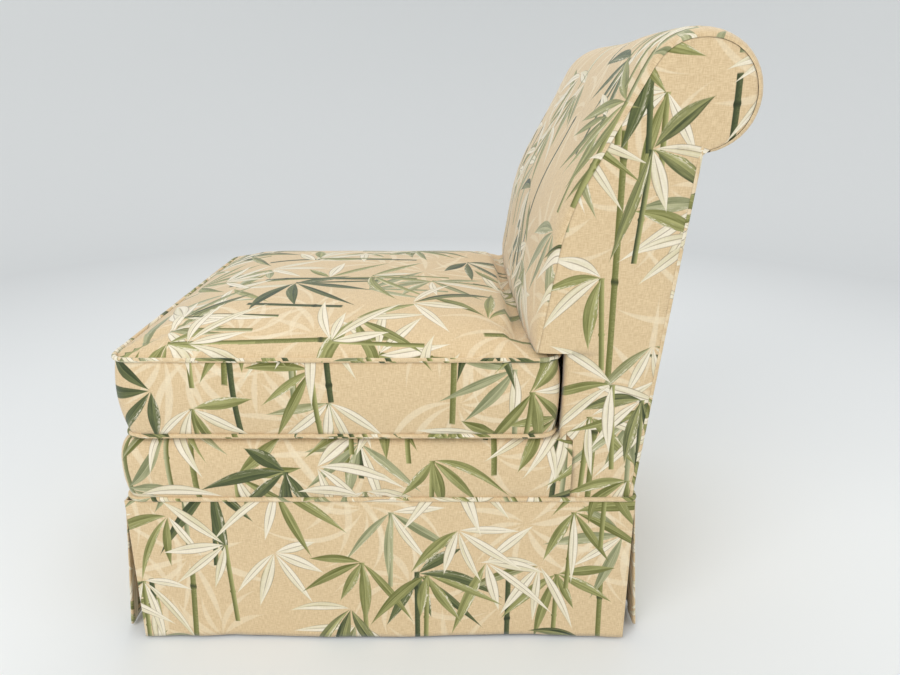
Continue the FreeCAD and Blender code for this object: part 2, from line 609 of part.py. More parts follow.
def inside_back(name, skin):
    """The inside back and its roll as one form, a skin's thickness under the outer surface."""
    bulge = f"(pad_crown-({skin}))"
    foot_y = f"(seam_y+pad_edge/sin(lower_lean)+({skin})*cos(lower_lean))"
    foot_z = f"(pad_bottom+({skin})*sin(lower_lean))"
    lip_y, lip_z = (f"{foot_y}-(pad_edge+{bulge})*sin(lower_lean)",
                    f"{foot_z}+(pad_edge+{bulge})*cos(lower_lean)")
    bend_y, bend_z = meet(UPPER_LINE, LOWER_LINE, bulge, bulge)
    neck_y, neck_z = meet(UPPER_LINE, CREST_LINE, bulge, f"(0-({skin}))")
    corners = [(foot_y, foot_z), (lip_y, lip_z, "fold_radius"),
               (f"roll_y+{bend_y}", f"roll_z+{bend_z}", f"bend_radius+{bulge}"),
               (f"roll_y+{neck_y}", f"roll_z+{neck_z}", "neck_radius"),
               (f"roll_y+(roll_radius-({skin}))*cos(crest_turn)",
                f"roll_z+(roll_radius-({skin}))*sin(crest_turn)"),
               ("roll_y", "roll_z")]
    slab = prism(f"{name}_slab", "YZ_Plane", corners, f"-({HALF}-cover)", f"2*({HALF}-cover)")
    centre_y, centre_z = meet(UPPER_LINE, LOWER_LINE, "(0-bend_radius)", "(0-bend_radius)")
    mid_turn = "(90+(upper_lean+lower_lean)/2)"
    middle = (f"({centre_y}*cos{mid_turn}+{centre_z}*sin{mid_turn}+bend_radius)", mid_turn)
    faces = [crowned_face(f"{name}_{place_name}", off, turn, skin) for place_name, (off, turn) in
             (("upper", UPPER_LINE), ("middle", middle), ("lower", LOWER_LINE))]
    front = doc.addObject("Part::MultiCommon", f"{name}_front")
    front.Shapes = [slab] + faces
    roll = doc.addObject("Part::Cylinder", f"{name}_roll")
    bind(roll, {"Radius": f"roll_radius-({skin})", "Height": f"2*({HALF}-cover)"})
    roll.Placement.Rotation = FreeCAD.Rotation(FreeCAD.Vector(0, 1, 0), 90)
    place(roll, f"-({HALF}-cover)", "roll_y", "roll_z")
    return joined(f"{name}_whole", [front, roll])


def crowned_face(name, off, turn, skin):
    """Everything behind one leaning face of the inside back, crowned from side to side."""
    body = doc.addObject("PartDesign::Body", name)
    sketch = square_to_back(body, "form", f"{turn}-90")
    bind(sketch, {".AttachmentOffset.Base.y": "roll_y", ".AttachmentOffset.Base.z": "roll_z"})
    half, front = f"({HALF}-cover)", f"({off}-({skin}))"
    arch(sketch, f"-{half}", half, f"{front}-4*roll_radius", front, f"{front}+pad_crown")
    pad = body.newObject("PartDesign::Pad", f"{name}_pad")
    pad.Profile = sketch
    pad.Midplane = True
    bind(pad, {"Length": "2*(roll_z-pad_bottom+roll_radius)"})
    body.Tip = pad
    return body


def arch(sketch, first, last, low, edge_high, crown_high):
    """Draws a straight-sided outline with an arched top."""
    corners = [(first, low), (last, low), (last, edge_high), (first, edge_high)]
    spots = [FreeCAD.Vector(worth(u), worth(v), 0) for u, v in corners]
    crown = FreeCAD.Vector((spots[0].x + spots[1].x) / 2, worth(crown_high), 0)
    sketch.addGeometry([Part.LineSegment(spots[0], spots[1]), Part.LineSegment(spots[1], spots[2]),
                        Part.Arc(spots[2], crown, spots[3]), Part.LineSegment(spots[3], spots[0])], False)
    for i in range(4):
        sketch.addConstraint(Sketcher.Constraint("Coincident", i, 2, (i + 1) % 4, 1))
    for i in (0, 1, 3):
        hold_point(sketch, i, 1, *corners[i])
    hold_point(sketch, 1, 2, *corners[2])
    half, rise = f"((({last})-({first}))/2)", f"(({crown_high})-({edge_high}))"
    hold(sketch, "Radius", (2,), f"({half}^2+{rise}^2)/(2*{rise})")


back_core = back_side("back_core", "pad_edge", "cover",
                      [("post_front", "pad_bottom"), ("post_front", RAIL_LOW)],
                      f"-({HALF}-cover)", f"2*({HALF}-cover)")
foam = cut("foam", inside_back("foam", "cover"), back_core)
keep(foam, "back_foam")
keep(along_back("back_burlap", "pad_edge", "pad_edge+burlap", f"-{RAIL_OUT}", RAIL_OUT, "face"),
     "back_burlap")
keep(along_back("roll_former", "pad_edge", POST_INSET, f"-{RAIL_OUT}", RAIL_OUT, "roll"), "roll_former")
upright = [along_back(f"upright_strap_{i}", "pad_edge+burlap", "pad_edge+burlap+strap",
                      f"{at}*back_pitch-strap_width/2", f"{at}*back_pitch+strap_width/2", "face")
           for i, at in enumerate((-1, 0, 1))]
keep(group("upright_straps", upright), "back_webbing_upright")
UPPER_Y = f"(roll_y-{HEAD}/sin(upper_lean)-roll_z/tan(upper_lean))"
level_straps = []
for i, (foot_y, lean, height) in enumerate((
        (f"({TACK_Y}-pad_bottom/tan(lower_lean))", "lower_lean", "(pad_bottom+tack_rail+strap_gap)"),
        (UPPER_Y, "upper_lean", f"(roll_z-{HEAD})"))):
    points = []
    for out, up in (("0", "0"), ("strap/sin({0})", "0"),
                    ("strap/sin({0})", "strap_width"), ("0", "strap_width")):
        points.append((f"{foot_y}+({height}+{up})/tan({lean})-{out.format(lean)}", f"{height}+{up}"))
    level_straps.append(prism(f"level_strap_{i}", "YZ_Plane", points, f"-{RAIL_OUT}", f"2*{RAIL_OUT}"))
keep(group("level_straps", level_straps), "back_webbing_level")

# Covers of the back
padded_back = cut("padded_back", inside_back("padded", "0"), back_core)
keep(cut("inside_back_skin", padded_back, foam), "inside_back_cover")
for side, sign in SIDES:
    felt_x = side_low(sign, f"({HALF}-cover)", RAIL_OUT)
    felt = back_side(f"side_felt_{side}", POST_INSET, "cover+padding",
                     [("post_front", "pad_bottom"), ("post_front", RAIL_LOW)], felt_x, "padding")
    keep(felt, f"side_padding_{side}")
    skin_x = side_low(sign, f"({HALF})", f"({HALF}-cover)")
    skin = back_side(f"side_skin_{side}", "0", "0",
                     [("post_front-padding-cover", "pad_bottom"), ("post_front-padding-cover", BAND_TOP),
                      ("post_seam", BAND_TOP), ("post_seam", RAIL_LOW)], skin_x, "cover")
    turn_x = side_low(sign, f"({HALF}-cover)", RAIL_IN)
    turn = block(f"post_turn_{side}", (turn_x, "post_front-padding-cover", BAND_TOP),
                 (f"{HALF}-cover-{RAIL_IN}", "cover", f"pad_bottom-{BAND_TOP}"))
    keep(joined(f"side_cover_form_{side}", [skin, turn]), f"side_cover_{side}")
keep(block("lower_back", (f"-{RAIL_IN}", "post_seam", BAND_TOP),
           (f"2*{RAIL_IN}", "cover", f"pad_bottom-{BAND_TOP}")), "lower_back_cover")
REAR_TOP = "(roll_z-roll_radius)"
keep(prism("outside_back", "YZ_Plane",
           [(rear(RAIL_LOW, "cover"), RAIL_LOW), (rear(RAIL_LOW), RAIL_LOW), (rear(REAR_TOP), REAR_TOP),
            (rear(REAR_TOP, "cover"), REAR_TOP)], f"-({HALF}-cover)", f"2*({HALF}-cover)"),
     "outside_back_cover")

# Skirt: a welt, four lined panels that swing out, and inserts behind the kick pleats
WELT_OFF = "(welt_radius+seam_clear)"
keep(welt_ring("skirt_welt_ring", f"{HALF}+{WELT_OFF}", f"seat_front+{WELT_OFF}", f"back_foot+{WELT_OFF}",
               f"body_corner+{WELT_OFF}", "skirt_seam", f"{WELT_OFF}+seam_clear"), "skirt_welt")
SKIRT_TOP = "(skirt_seam-welt_radius)"
PANEL_IN = "(pleat_cloth+2*seam_clear)"
for name, face, flare, sign in (("front", "seat_front", "flare_front", -1),
                                ("back", "back_foot", "flare_back", 1)):
    sense = "-" if sign < 0 else ""
    corners = [(f"{sense}({face}+{PANEL_IN})", SKIRT_TOP),
               (f"{sense}({face}+{PANEL_IN}+skirt_cloth)", SKIRT_TOP),
               (f"{sense}({face}+{PANEL_IN}+skirt_cloth+{flare})", "hem_gap"),
               (f"{sense}({face}+{PANEL_IN}+{flare})", "hem_gap")]
    keep(prism(f"skirt_{name}_panel", "YZ_Plane", corners, f"-({HALF}-pleat_gap)", f"2*({HALF}-pleat_gap)"),
         f"skirt_{name}")
for side, sign in SIDES:
    sense = "" if sign > 0 else "-"
    corners = [(f"{sense}({HALF}+{PANEL_IN})", SKIRT_TOP),
               (f"{sense}({HALF}+{PANEL_IN}+skirt_cloth)", SKIRT_TOP),
               (f"{sense}({HALF}+{PANEL_IN}+skirt_cloth+flare_side)", "hem_gap"),
               (f"{sense}({HALF}+{PANEL_IN}+flare_side)", "hem_gap")]
    keep(prism(f"skirt_{side}_panel", "XZ_Plane", corners, "-(seat_front-pleat_gap)",
               "seat_front+back_foot-2*pleat_gap"), f"skirt_{side}")
for end, face, toward, corner in (("front", "seat_front", -1, ("body_corner",)),
                                  ("back", "back_foot", 1, ())):
    pair = []
    for side, sign in SIDES:
        x, y = ("" if sign > 0 else "-"), ("" if toward > 0 else "-")
        near_x, far_x = f"({HALF}+seam_clear)", f"({HALF}+seam_clear+pleat_cloth)"
        near_y, far_y = f"({face}+seam_clear)", f"({face}+seam_clear+pleat_cloth)"
        corners = [(f"{x}{far_x}", f"{y}({face}-pleat_length)"),
                   (f"{x}{far_x}", f"{y}{far_y}", "+".join(corner + ("pleat_cloth",))),
                   (f"{x}({HALF}-pleat_length)", f"{y}{far_y}"),
                   (f"{x}({HALF}-pleat_length)", f"{y}{near_y}"),
                   (f"{x}{near_x}", f"{y}{near_y}", *corner),
                   (f"{x}{near_x}", f"{y}({face}-pleat_length)")]
        pair.append(prism(f"pleat_{end}_{side}", "XY_Plane", corners, "hem_gap", f"{SKIRT_TOP}-hem_gap"))
    keep(group(f"pleat_pair_{end}", pair), f"pleat_inserts_{end}")
strip_low = f"({SKIRT_TOP}-tack_strip)"
strips = []
for name, y in (("front", "-(seat_front+seam_clear+pleat_cloth)"), ("back", "back_foot+seam_clear")):
    strips.append(block(f"strip_{name}", (f"-({HALF}-pleat_length)", y, strip_low),
                        (f"2*({HALF}-pleat_length)", "pleat_cloth", "tack_strip")))
for side, sign in SIDES:
    low_x = side_low(sign, f"({HALF}+seam_clear+pleat_cloth)", f"({HALF}+seam_clear)")
    strips.append(block(f"strip_{side}", (low_x, "-(seat_front-pleat_length)", strip_low),
                        ("pleat_cloth", "seat_front+back_foot-2*pleat_length", "tack_strip")))
keep(group("tack_strips", strips), "skirt_tack_strips")


# Loose cushion: foam core, polyester wrap, two panels, boxing with a rear zipper and two welts
def crowned(name, inset, edge_high, crown_high):
    """A pillow form: rounded in plan, flat underneath, its top an arc both ways."""
    half, front, back = (f"(cushion_width/2-({inset}))", f"(cushion_front-({inset}))",
                         f"(cushion_back-({inset}))")
    plan = prism(f"{name}_plan", "XY_Plane", rectangle(half, front, back, f"cushion_corner-({inset})"),
                 BOX_LOW, f"({crown_high})-{BOX_LOW}+cover")
    across = arched(f"{name}_across", "XZ_Plane", f"-{half}", half, edge_high, crown_high,
                    f"-{front}", f"{front}+{back}")
    along = arched(f"{name}_along", "YZ_Plane", f"-{front}", back, edge_high, crown_high,
                   f"-{half}", f"2*{half}")
    pillow = doc.addObject("Part::MultiCommon", f"{name}_pillow")
    pillow.Shapes = [plan, across, along]
    return pillow


def arched(name, plane, first, last, edge_high, crown_high, start, length):
    """A straight-sided form with an arched top."""
    body = doc.addObject("PartDesign::Body", name)
    sketch = new_sketch(body, "form", plane)
    arch(sketch, first, last, BOX_LOW, edge_high, crown_high)
    return pad_sketch(body, sketch, plane, start, length)


CROWN_TOP = f"({WELT_HIGH}+cushion_crown)"
foam_form = crowned("core", "cover+wrap", f"{BOX_HIGH}-edge_ease-wrap", f"{CROWN_TOP}-cover-wrap")
keep(foam_form, "cushion_core")
wrap_form = crowned("wrap", "cover", f"{BOX_HIGH}-edge_ease", f"{CROWN_TOP}-cover")
wrap_foot = prism("wrap_foot", "XY_Plane",
                  rectangle(f"cushion_width/2-{PANEL_INSET}", f"cushion_front-{PANEL_INSET}",
                            f"cushion_back-{PANEL_INSET}", f"cushion_corner-{PANEL_INSET}"),
                  f"{CUSHION_LOW}+cover", f"{BOX_LOW}-{CUSHION_LOW}-cover")
keep(cut("wrap_shell", joined("wrap_all", [wrap_form, wrap_foot]), foam_form), "cushion_wrap")
panel_form = crowned("panel", PANEL_INSET, f"{BOX_HIGH}-edge_ease+cover", CROWN_TOP)
keep(cut("top_panel", panel_form, wrap_form), "cushion_top_panel")
keep(prism("bottom_panel", "XY_Plane",
           rectangle(f"cushion_width/2-{PANEL_INSET}", f"cushion_front-{PANEL_INSET}",
                     f"cushion_back-{PANEL_INSET}", f"cushion_corner-{PANEL_INSET}"), CUSHION_LOW, "cover"),
     "cushion_bottom_panel")
box_half, box_in = "cushion_width/2", "(cushion_width/2-cover)"
boxing = [("zip_length/2", "cushion_back"),
          (box_half, "cushion_back", "cushion_corner"),
          (box_half, "-cushion_front", "cushion_corner"),
          (f"-{box_half}", "-cushion_front", "cushion_corner"),
          (f"-{box_half}", "cushion_back", "cushion_corner"),
          ("-zip_length/2", "cushion_back"),
          ("-zip_length/2", "cushion_back-cover"),
          (f"-{box_in}", "cushion_back-cover", "cushion_corner-cover"),
          (f"-{box_in}", "-(cushion_front-cover)", "cushion_corner-cover"),
          (box_in, "-(cushion_front-cover)", "cushion_corner-cover"),
          (box_in, "cushion_back-cover", "cushion_corner-cover"),
          ("zip_length/2", "cushion_back-cover")]
keep(prism("boxing_strip", "XY_Plane", boxing, BOX_LOW, f"{BOX_HIGH}-{BOX_LOW}"), "cushion_boxing")
ZIP_MID = f"(({BOX_LOW}+{BOX_HIGH})/2)"
zip_strips = [block("zip_strip_low", ("-zip_length/2", "cushion_back-cover", BOX_LOW),
                    ("zip_length", "cover", f"{ZIP_MID}-zip_coil/2-{BOX_LOW}")),
              block("zip_strip_high", ("-zip_length/2", "cushion_back-cover", f"{ZIP_MID}+zip_coil/2"),
                    ("zip_length", "cover", f"{BOX_HIGH}-{ZIP_MID}-zip_coil/2"))]
keep(group("zip_strips", zip_strips), "cushion_zip_boxing")
keep(block("coil", ("-zip_length/2", "cushion_back-cover", f"{ZIP_MID}-zip_coil/2"),
           ("zip_length", "cover+coil_proud", "zip_coil")), "zip_coil_chain")
SLIDE_IN = "(cushion_back+slider_clear)"
SLIDE_FACE = "(cushion_back+coil_proud+slider_clear)"
SLIDE_OUT = f"({SLIDE_FACE}+slider_wall)"
reach = "(zip_coil/2+slider_clear)"
saddle = prism("slider_saddle", "YZ_Plane",
               [(SLIDE_IN, f"{ZIP_MID}-{reach}-slider_wall"), (SLIDE_OUT, f"{ZIP_MID}-{reach}-slider_wall"),
                (SLIDE_OUT, f"{ZIP_MID}+{reach}+slider_wall"), (SLIDE_IN, f"{ZIP_MID}+{reach}+slider_wall"),
                (SLIDE_IN, f"{ZIP_MID}+{reach}"), (SLIDE_FACE, f"{ZIP_MID}+{reach}"),
                (SLIDE_FACE, f"{ZIP_MID}-{reach}"), (SLIDE_IN, f"{ZIP_MID}-{reach}")],
               "zip_length/2-slider_length", "slider_length")
tab = block("slider_tab",
            ("zip_length/2-(slider_length+tab_width)/2", SLIDE_OUT, f"{ZIP_MID}-tab_length+zip_coil/2"),
            ("tab_width", "slider_wall", "tab_length"))
keep(joined("slider_form", [saddle, tab]), "zip_slider")
for name, height in (("top", WELT_HIGH), ("bottom", WELT_LOW)):
    keep(welt_ring(f"cushion_welt_{name}", "cushion_width/2-cover/2", "cushion_front-cover/2",
                   "cushion_back-cover/2", "cushion_corner-cover/2", height), f"cushion_{name}_welt")

doc.recompute()
for thing in doc.Objects:
    if "Invalid" in thing.State or "Error" in thing.State:
        raise RuntimeError(f"{thing.Name} did not build")
for node in nodes:
    if node.Shape.isNull() or not node.Shape.isValid():
        raise RuntimeError(f"{node.Label} is not a sound solid")
os.makedirs("parts", exist_ok=True)
for node in nodes:
    node.Shape.exportStep(f"parts/{node.Label}.step")
    box = node.Shape.BoundBox
    print(f"{node.Label}: {len(node.Shape.Solids)} solids, {node.Shape.Volume / 1000:.1f} cm3,",
          f"x {box.XMin:.1f}..{box.XMax:.1f}, y {box.YMin:.1f}..{box.YMax:.1f}, "
          f"z {box.ZMin:.1f}..{box.ZMax:.1f}")
print(len(nodes), "nodes")
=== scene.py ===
import bpy
import json
import math
from functools import partial
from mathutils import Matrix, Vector, noise


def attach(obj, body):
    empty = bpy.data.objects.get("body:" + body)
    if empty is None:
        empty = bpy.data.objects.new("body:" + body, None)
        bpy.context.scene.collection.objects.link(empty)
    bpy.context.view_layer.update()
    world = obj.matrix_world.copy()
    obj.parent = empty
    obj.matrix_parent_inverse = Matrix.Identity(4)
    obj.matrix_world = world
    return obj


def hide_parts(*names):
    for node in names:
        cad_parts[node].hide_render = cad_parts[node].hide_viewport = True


# %% [markdown]
# # A slipper chair in printed linen
#
# A slipper chair is a low armless chair. This one has a loose boxed seat cushion, a padded back
# that leans and rolls over at the top, and a skirt with kick pleats that hides its legs.
# The hard frame is already there as measured solids. Here every cloth part is made over it,
# one piece at a time, in the order an upholsterer would see them.

# %% Load the measured frame
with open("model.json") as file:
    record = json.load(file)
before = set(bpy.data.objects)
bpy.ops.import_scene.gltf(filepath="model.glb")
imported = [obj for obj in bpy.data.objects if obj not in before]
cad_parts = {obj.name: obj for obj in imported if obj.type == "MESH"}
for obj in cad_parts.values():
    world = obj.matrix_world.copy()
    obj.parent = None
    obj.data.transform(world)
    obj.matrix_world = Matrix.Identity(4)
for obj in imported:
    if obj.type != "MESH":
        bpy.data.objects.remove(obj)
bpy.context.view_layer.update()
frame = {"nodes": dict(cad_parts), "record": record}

# %% [markdown]
# ## The camera
#
# The photograph was taken from close by, with a wide lens, looking down a little at the
# chair's side. A close camera makes the near edges large, so its place matters more than
# its lens: the place, tilt and lens below were worked out from the chair's straight edges.

# %% Set up the camera
tilt = math.radians(20.2)
camera_data = bpy.data.cameras.new("camera")
camera_data.sensor_width = 36.0
camera_data.lens = 27.04
camera_data.clip_start = 0.02
camera = bpy.data.objects.new("camera", camera_data)
camera.location = (1.095, 0.070, 0.766)
looking = Vector((-math.cos(tilt), 0.0, -math.sin(tilt)))
camera.rotation_euler = looking.to_track_quat("-Z", "Y").to_euler()
bpy.context.collection.objects.link(camera)
bpy.context.scene.camera = camera
print("camera tilt in degrees:", round(math.degrees(tilt), 1))

# %% [markdown]
# ## The studio
#
# A pale floor runs up into a round wall without an edge, so the chair can be seen from every
# side. The wall is only there for the camera and takes no light away. Three large soft lamps
# and an even surround keep the shadows gentle, so the dyes are seen as they are.

# %% Make a mesh from rows of points


def link_mesh(name, points, faces, flat_places=None):
    """Makes a mesh object; flat_places gives each face corner its place on the flat cloth."""
    mesh = bpy.data.meshes.new(name)
    mesh.from_pydata([tuple(p) for p in points], [], faces)
    mesh.polygons.foreach_set("use_smooth", [True] * len(mesh.polygons))
    if flat_places is not None:
        layer = mesh.uv_layers.new(name="Print")
        for loop, place in zip(layer.data, flat_places):
            loop.uv = place
    mesh.update()
    made = bpy.data.objects.new(name, mesh)
    bpy.context.collection.objects.link(made)
    return made


def grid_mesh(name, rows, places=None, closed=False):
    """Joins rows of points into a surface. places has one flat (u, v) for each point."""
    wide, points = len(rows[0]), [p for row in rows for p in row]
    faces, corners = [], []
    for i in range(len(rows) - 1):
        for j in range(wide - (0 if closed else 1)):
            k = (j + 1) % wide
            faces.append((i * wide + j, i * wide + k, (i + 1) * wide + k, (i + 1) * wide + j))
            if places is not None:
                ends = [places[i][j], places[i][j + 1], places[i + 1][j + 1], places[i + 1][j]]
                corners.extend(ends)
    return link_mesh(name, points, faces, corners if places is not None else None)


# %% Build the floor and the lamps
FLOOR_EDGE, COVE, WALL_TOP = 2.6, 1.0, 6.0


def ring_of(radius, height):
    """A level ring of points round the chair."""
    turns = [math.radians(a) for a in range(0, 360, 5)]
    return [(radius * math.cos(a), radius * math.sin(a), height) for a in turns]


cove_turns = [math.radians(a) for a in range(0, 91, 6)]
cove_rows = [ring_of(FLOOR_EDGE + COVE * math.sin(a), COVE - COVE * math.cos(a)) for a in cove_turns]
cove_rows.append(ring_of(FLOOR_EDGE + COVE, WALL_TOP))
wall = grid_mesh("studio_wall", cove_rows, closed=True)
wall.visible_shadow = wall.visible_diffuse = wall.visible_glossy = False
floor_ring = ring_of(FLOOR_EDGE, 0.0)
studio_floor = link_mesh("studio_floor", floor_ring, [list(range(len(floor_ring)))])


def soft_lamp(name, place, target, size, watts):
    """A large square lamp that faces its target."""
    lamp = bpy.data.lights.new(name, "AREA")
    lamp.shape = "SQUARE"
    lamp.size = size
    lamp.energy = watts
    made = bpy.data.objects.new(name, lamp)
    made.location = place
    made.rotation_euler = (Vector(target) - Vector(place)).to_track_quat("-Z", "Y").to_euler()
    made.visible_camera = False
    bpy.context.collection.objects.link(made)
    return made


soft_lamp("key_lamp", (2.2, -1.4, 2.3), (0, 0, 0.35), 2.0, 46)
soft_lamp("fill_lamp", (1.6, 2.4, 1.6), (0, 0, 0.4), 2.2, 20)
soft_lamp("top_lamp", (-1.2, 0.2, 2.6), (0, 0, 0.3), 2.0, 22)
world = bpy.data.worlds.new("surround")
world.use_nodes = True
world.node_tree.nodes["Background"].inputs["Color"].default_value = (0.95, 0.975, 1.0, 1.0)
world.node_tree.nodes["Background"].inputs["Strength"].default_value = 0.55
bpy.context.scene.world = world
bpy.context.scene.view_settings.view_transform = "Standard"

# %% [markdown]
# ## Small helpers for materials
#
# A material here is a recipe of nodes. These helpers only save typing: one adds a node and
# wires its inputs, the others are short words for sums, vector sums and colour mixes, which
# are added to the recipe that their inputs come from. Where a chance from 0 to 1 is multiplied
# by one number and another is added, the second is where its range starts and the first is
# how wide the range is.

# %% Node helpers


def add(tree, kind, inputs=(), **settings):
    """Adds a node. Each input is a number, a colour or another node's output."""
    made = tree.nodes.new(kind)
    for word, value in settings.items():
        setattr(made, word, value)
    listed = inputs.items() if isinstance(inputs, dict) else enumerate(inputs)
    for index, value in listed:
        if isinstance(value, bpy.types.NodeSocket):
            tree.links.new(value, made.inputs[index])
        elif value is not None:
            made.inputs[index].default_value = value
    return made


def tree_of(*values):
    """The recipe that the first socket among the values belongs to."""
    return next(value.id_data for value in values if isinstance(value, bpy.types.NodeSocket))


def number(operation, *values, clamp=False):
    """One sum, added to the recipe that its inputs come from."""
    return add(tree_of(*values), "ShaderNodeMath", values, operation=operation, use_clamp=clamp).outputs[0]


times, plus, minus = partial(number, "MULTIPLY"), partial(number, "ADD"), partial(number, "SUBTRACT")
divided, times_plus = partial(number, "DIVIDE"), partial(number, "MULTIPLY_ADD")


def vector(operation, *values):
    return add(tree_of(*values), "ShaderNodeVectorMath", values, operation=operation).outputs[0]


def blend_colour(factor, first, second, kind="MIX"):
    made = add(tree_of(factor, first, second), "ShaderNodeMix", {0: factor, 6: first, 7: second},
               data_type="RGBA", blend_type=kind)
    return made.outputs[2]


def between(value, low, high, first=0.0, second=1.0):
    """Eases a value from low..high to first..second."""
    made = add(value.id_data, "ShaderNodeMapRange", (value, low, high, first, second),
               interpolation_type="SMOOTHSTEP")
    return made.outputs[0]


def dye(red, green, blue):
    """A colour given the way a screen shows it, 0 to 255, turned into the amounts a shader needs."""
    def part(c):
        c = c / 255.0
        return c / 12.92 if c <= 0.04045 else ((c + 0.055) / 1.055) ** 2.4
    return (part(red), part(green), part(blue), 1.0)


def new_group(name, inputs, outputs):
    """A reusable recipe. Returns the tree, its input sockets by name and its output node."""
    tree = bpy.data.node_groups.new(name, "ShaderNodeTree")
    kinds = {"v": "NodeSocketVector", "f": "NodeSocketFloat", "c": "NodeSocketColor"}
    for word, kind in inputs:
        tree.interface.new_socket(word, in_out="INPUT", socket_type=kinds[kind])
    for word, kind in outputs:
        tree.interface.new_socket(word, in_out="OUTPUT", socket_type=kinds[kind])
    start, end = tree.nodes.new("NodeGroupInput"), tree.nodes.new("NodeGroupOutput")
    return tree, start.outputs, end


def numbers(*words):
    """Sockets that each carry one number."""
    return [(word, "f") for word in words]


def colours(*words):
    return [(word, "c") for word in words]


def new_material(name):
    """An empty material with its main shader. Returns the material, its tree and the shader."""
    made = bpy.data.materials.new(name)
    made.use_nodes = True
    return made, made.node_tree, made.node_tree.nodes["Principled BSDF"]


# %% [markdown]
# ## The print: a spray of leaves
#
# The linen is screen-printed with bamboo: long pointed leaves that fan out from a cane.
# The cloth is divided into squares, and each square gets one spray. Inside it the angle
# around the spray's middle picks the leaf, and chance gives every leaf its own length, bend
# and shade. Before that the square is bent downwards to its sides, so that the leaves droop.
# The drawing is made up here; it copies nobody's cloth.

# %% The spray recipe
JITTER, HUB_RISE, START_LUCK = 0.16, 0.08, 0.34
LEAF_WORDS = ("Cover", "Along", "Across", "Leaf", "Kind", "Stem", "Side")
tree, given, end = new_group(
    "leaf_spray",
    [("Place", "v"), *numbers("Lean", "Upright", "Leaves", "Open", "Reach", "Width", "Droop", "Swirl"),
     *numbers("Sharp", "Stem width")],
    numbers(*LEAF_WORDS))
square = vector("FLOOR", given["Place"])
chance = add(tree, "ShaderNodeTexWhiteNoise", (square,), noise_dimensions="3D")
luck, luck_three = chance.outputs["Value"], add(tree, "ShaderNodeSeparateColor", (chance.outputs["Color"],))
inside = add(tree, "ShaderNodeSeparateXYZ", (vector("FRACTION", given["Place"]),))
moved_x, moved_y = (times_plus(luck_three.outputs[i], -JITTER,
                               plus(inside.outputs[i], JITTER / 2 - 0.5)) for i in (0, 1))
flat_x = times_plus(moved_x, given["Upright"], times(moved_y, given["Lean"]))
flat_y = minus(times_plus(moved_y, given["Upright"], -HUB_RISE), times(moved_x, given["Lean"]))
raised = times_plus(times(flat_x, flat_x), given["Droop"], flat_y)
reach_out = number("SQRT", times_plus(flat_x, flat_x, times(raised, raised)))
swirled = times(minus(luck_three.outputs[2], 0.5), times(given["Swirl"], reach_out))
angle = plus(number("ARCTAN2", raised, flat_x), swirled)

# %% [markdown]
# The fan opens downwards, like hanging leaves. Its first leaf starts half the fan's spread
# before straight down, give or take a little, and the leaves are counted from there. A leaf
# widens from its stalk and narrows to its tip; FULL_WIDTH makes its widest place count as 1.

# %% Count the leaves of the fan and shape them
WIDENING, NARROWING, FULL_WIDTH = 1.3, 1.5, 6.9
half_fan = divided(times(given["Open"], 0.5), given["Leaves"])
first_leaf = plus(times_plus(luck, START_LUCK, 0.25 - START_LUCK / 2), half_fan)
turned = times_plus(angle, 1 / math.tau, first_leaf)
sector = times(number("FRACT", turned), given["Leaves"])
which = number("FLOOR", sector)
seed_place = add(tree, "ShaderNodeCombineXYZ", (which, times(luck, 91.7), 0))
leaf_chance = add(tree, "ShaderNodeTexWhiteNoise", (seed_place.outputs[0],), noise_dimensions="2D")
leaf_luck = leaf_chance.outputs["Value"]
leaf_mix = add(tree, "ShaderNodeSeparateColor", (leaf_chance.outputs["Color"],))
off_middle = minus(number("FRACT", sector), times_plus(leaf_mix.outputs[0], 0.36, 0.32))
swing = times(off_middle, divided(math.tau, given["Leaves"]))
bend = times_plus(leaf_mix.outputs[2], 0.6, -0.3)
aside = times(times_plus(bend, reach_out, swing), reach_out)
length = times(times_plus(leaf_mix.outputs[1], 0.48, 0.52), given["Reach"])
along = divided(reach_out, length)
to_tip = number("MAXIMUM", minus(1.0, along), 0.0)
taper = times(number("POWER", along, WIDENING), number("POWER", to_tip, NARROWING))
own_width = times_plus(number("FRACT", times(leaf_luck, 5.7)), 0.40, 0.70)
half_width = times(times(taper, FULL_WIDTH), times(given["Width"], own_width))
margin = minus(half_width, number("ABSOLUTE", aside))
solid = times(margin, given["Sharp"], clamp=True)
present = number("LESS_THAN", which, times_plus(luck_three.outputs[0], -1.7, given["Open"]))

# %% Stand a cane under the fan
JOINT_STEP, STEM_LENGTH, STEM_SHARE = 0.12, 0.40, 0.6
stem_aside = times_plus(times_plus(luck, 0.16, -0.08), flat_y, flat_x)
joint = between(number("PINGPONG", flat_y, JOINT_STEP), 0.0, 0.010, 1.25, 1.0)
stem_half = times(given["Stem width"], joint)
stem_margin = minus(stem_half, number("ABSOLUTE", stem_aside))
stem_ends = number("MINIMUM", times(flat_y, -1.0), plus(flat_y, STEM_LENGTH))
stem = times(number("MINIMUM", stem_margin, stem_ends), given["Sharp"], clamp=True)
for word, value in (("Cover", times(solid, present)), ("Along", along),
                    ("Across", divided(aside, half_width)), ("Leaf", leaf_luck),
                    ("Kind", number("FRACT", times(leaf_mix.outputs[0], 7.3))),
                    ("Stem", times(stem, number("LESS_THAN", luck_three.outputs[1], STEM_SHARE))),
                    ("Side", divided(stem_aside, stem_half))):
    tree.links.new(value, end.inputs[word])
LEAF_SPRAY = tree
print("spray recipe:", len(tree.nodes), "nodes")

# %% [markdown]
# ## The print: ink on a leaf
#
# A printed leaf has a light and a dark half, a fine rib down its middle, a thin outline and
# long soft streaks, as if brushed. The streaks are a noise stretched in the leaf's own
# directions, along and across, so they follow its shape. The cane lies under the leaves.

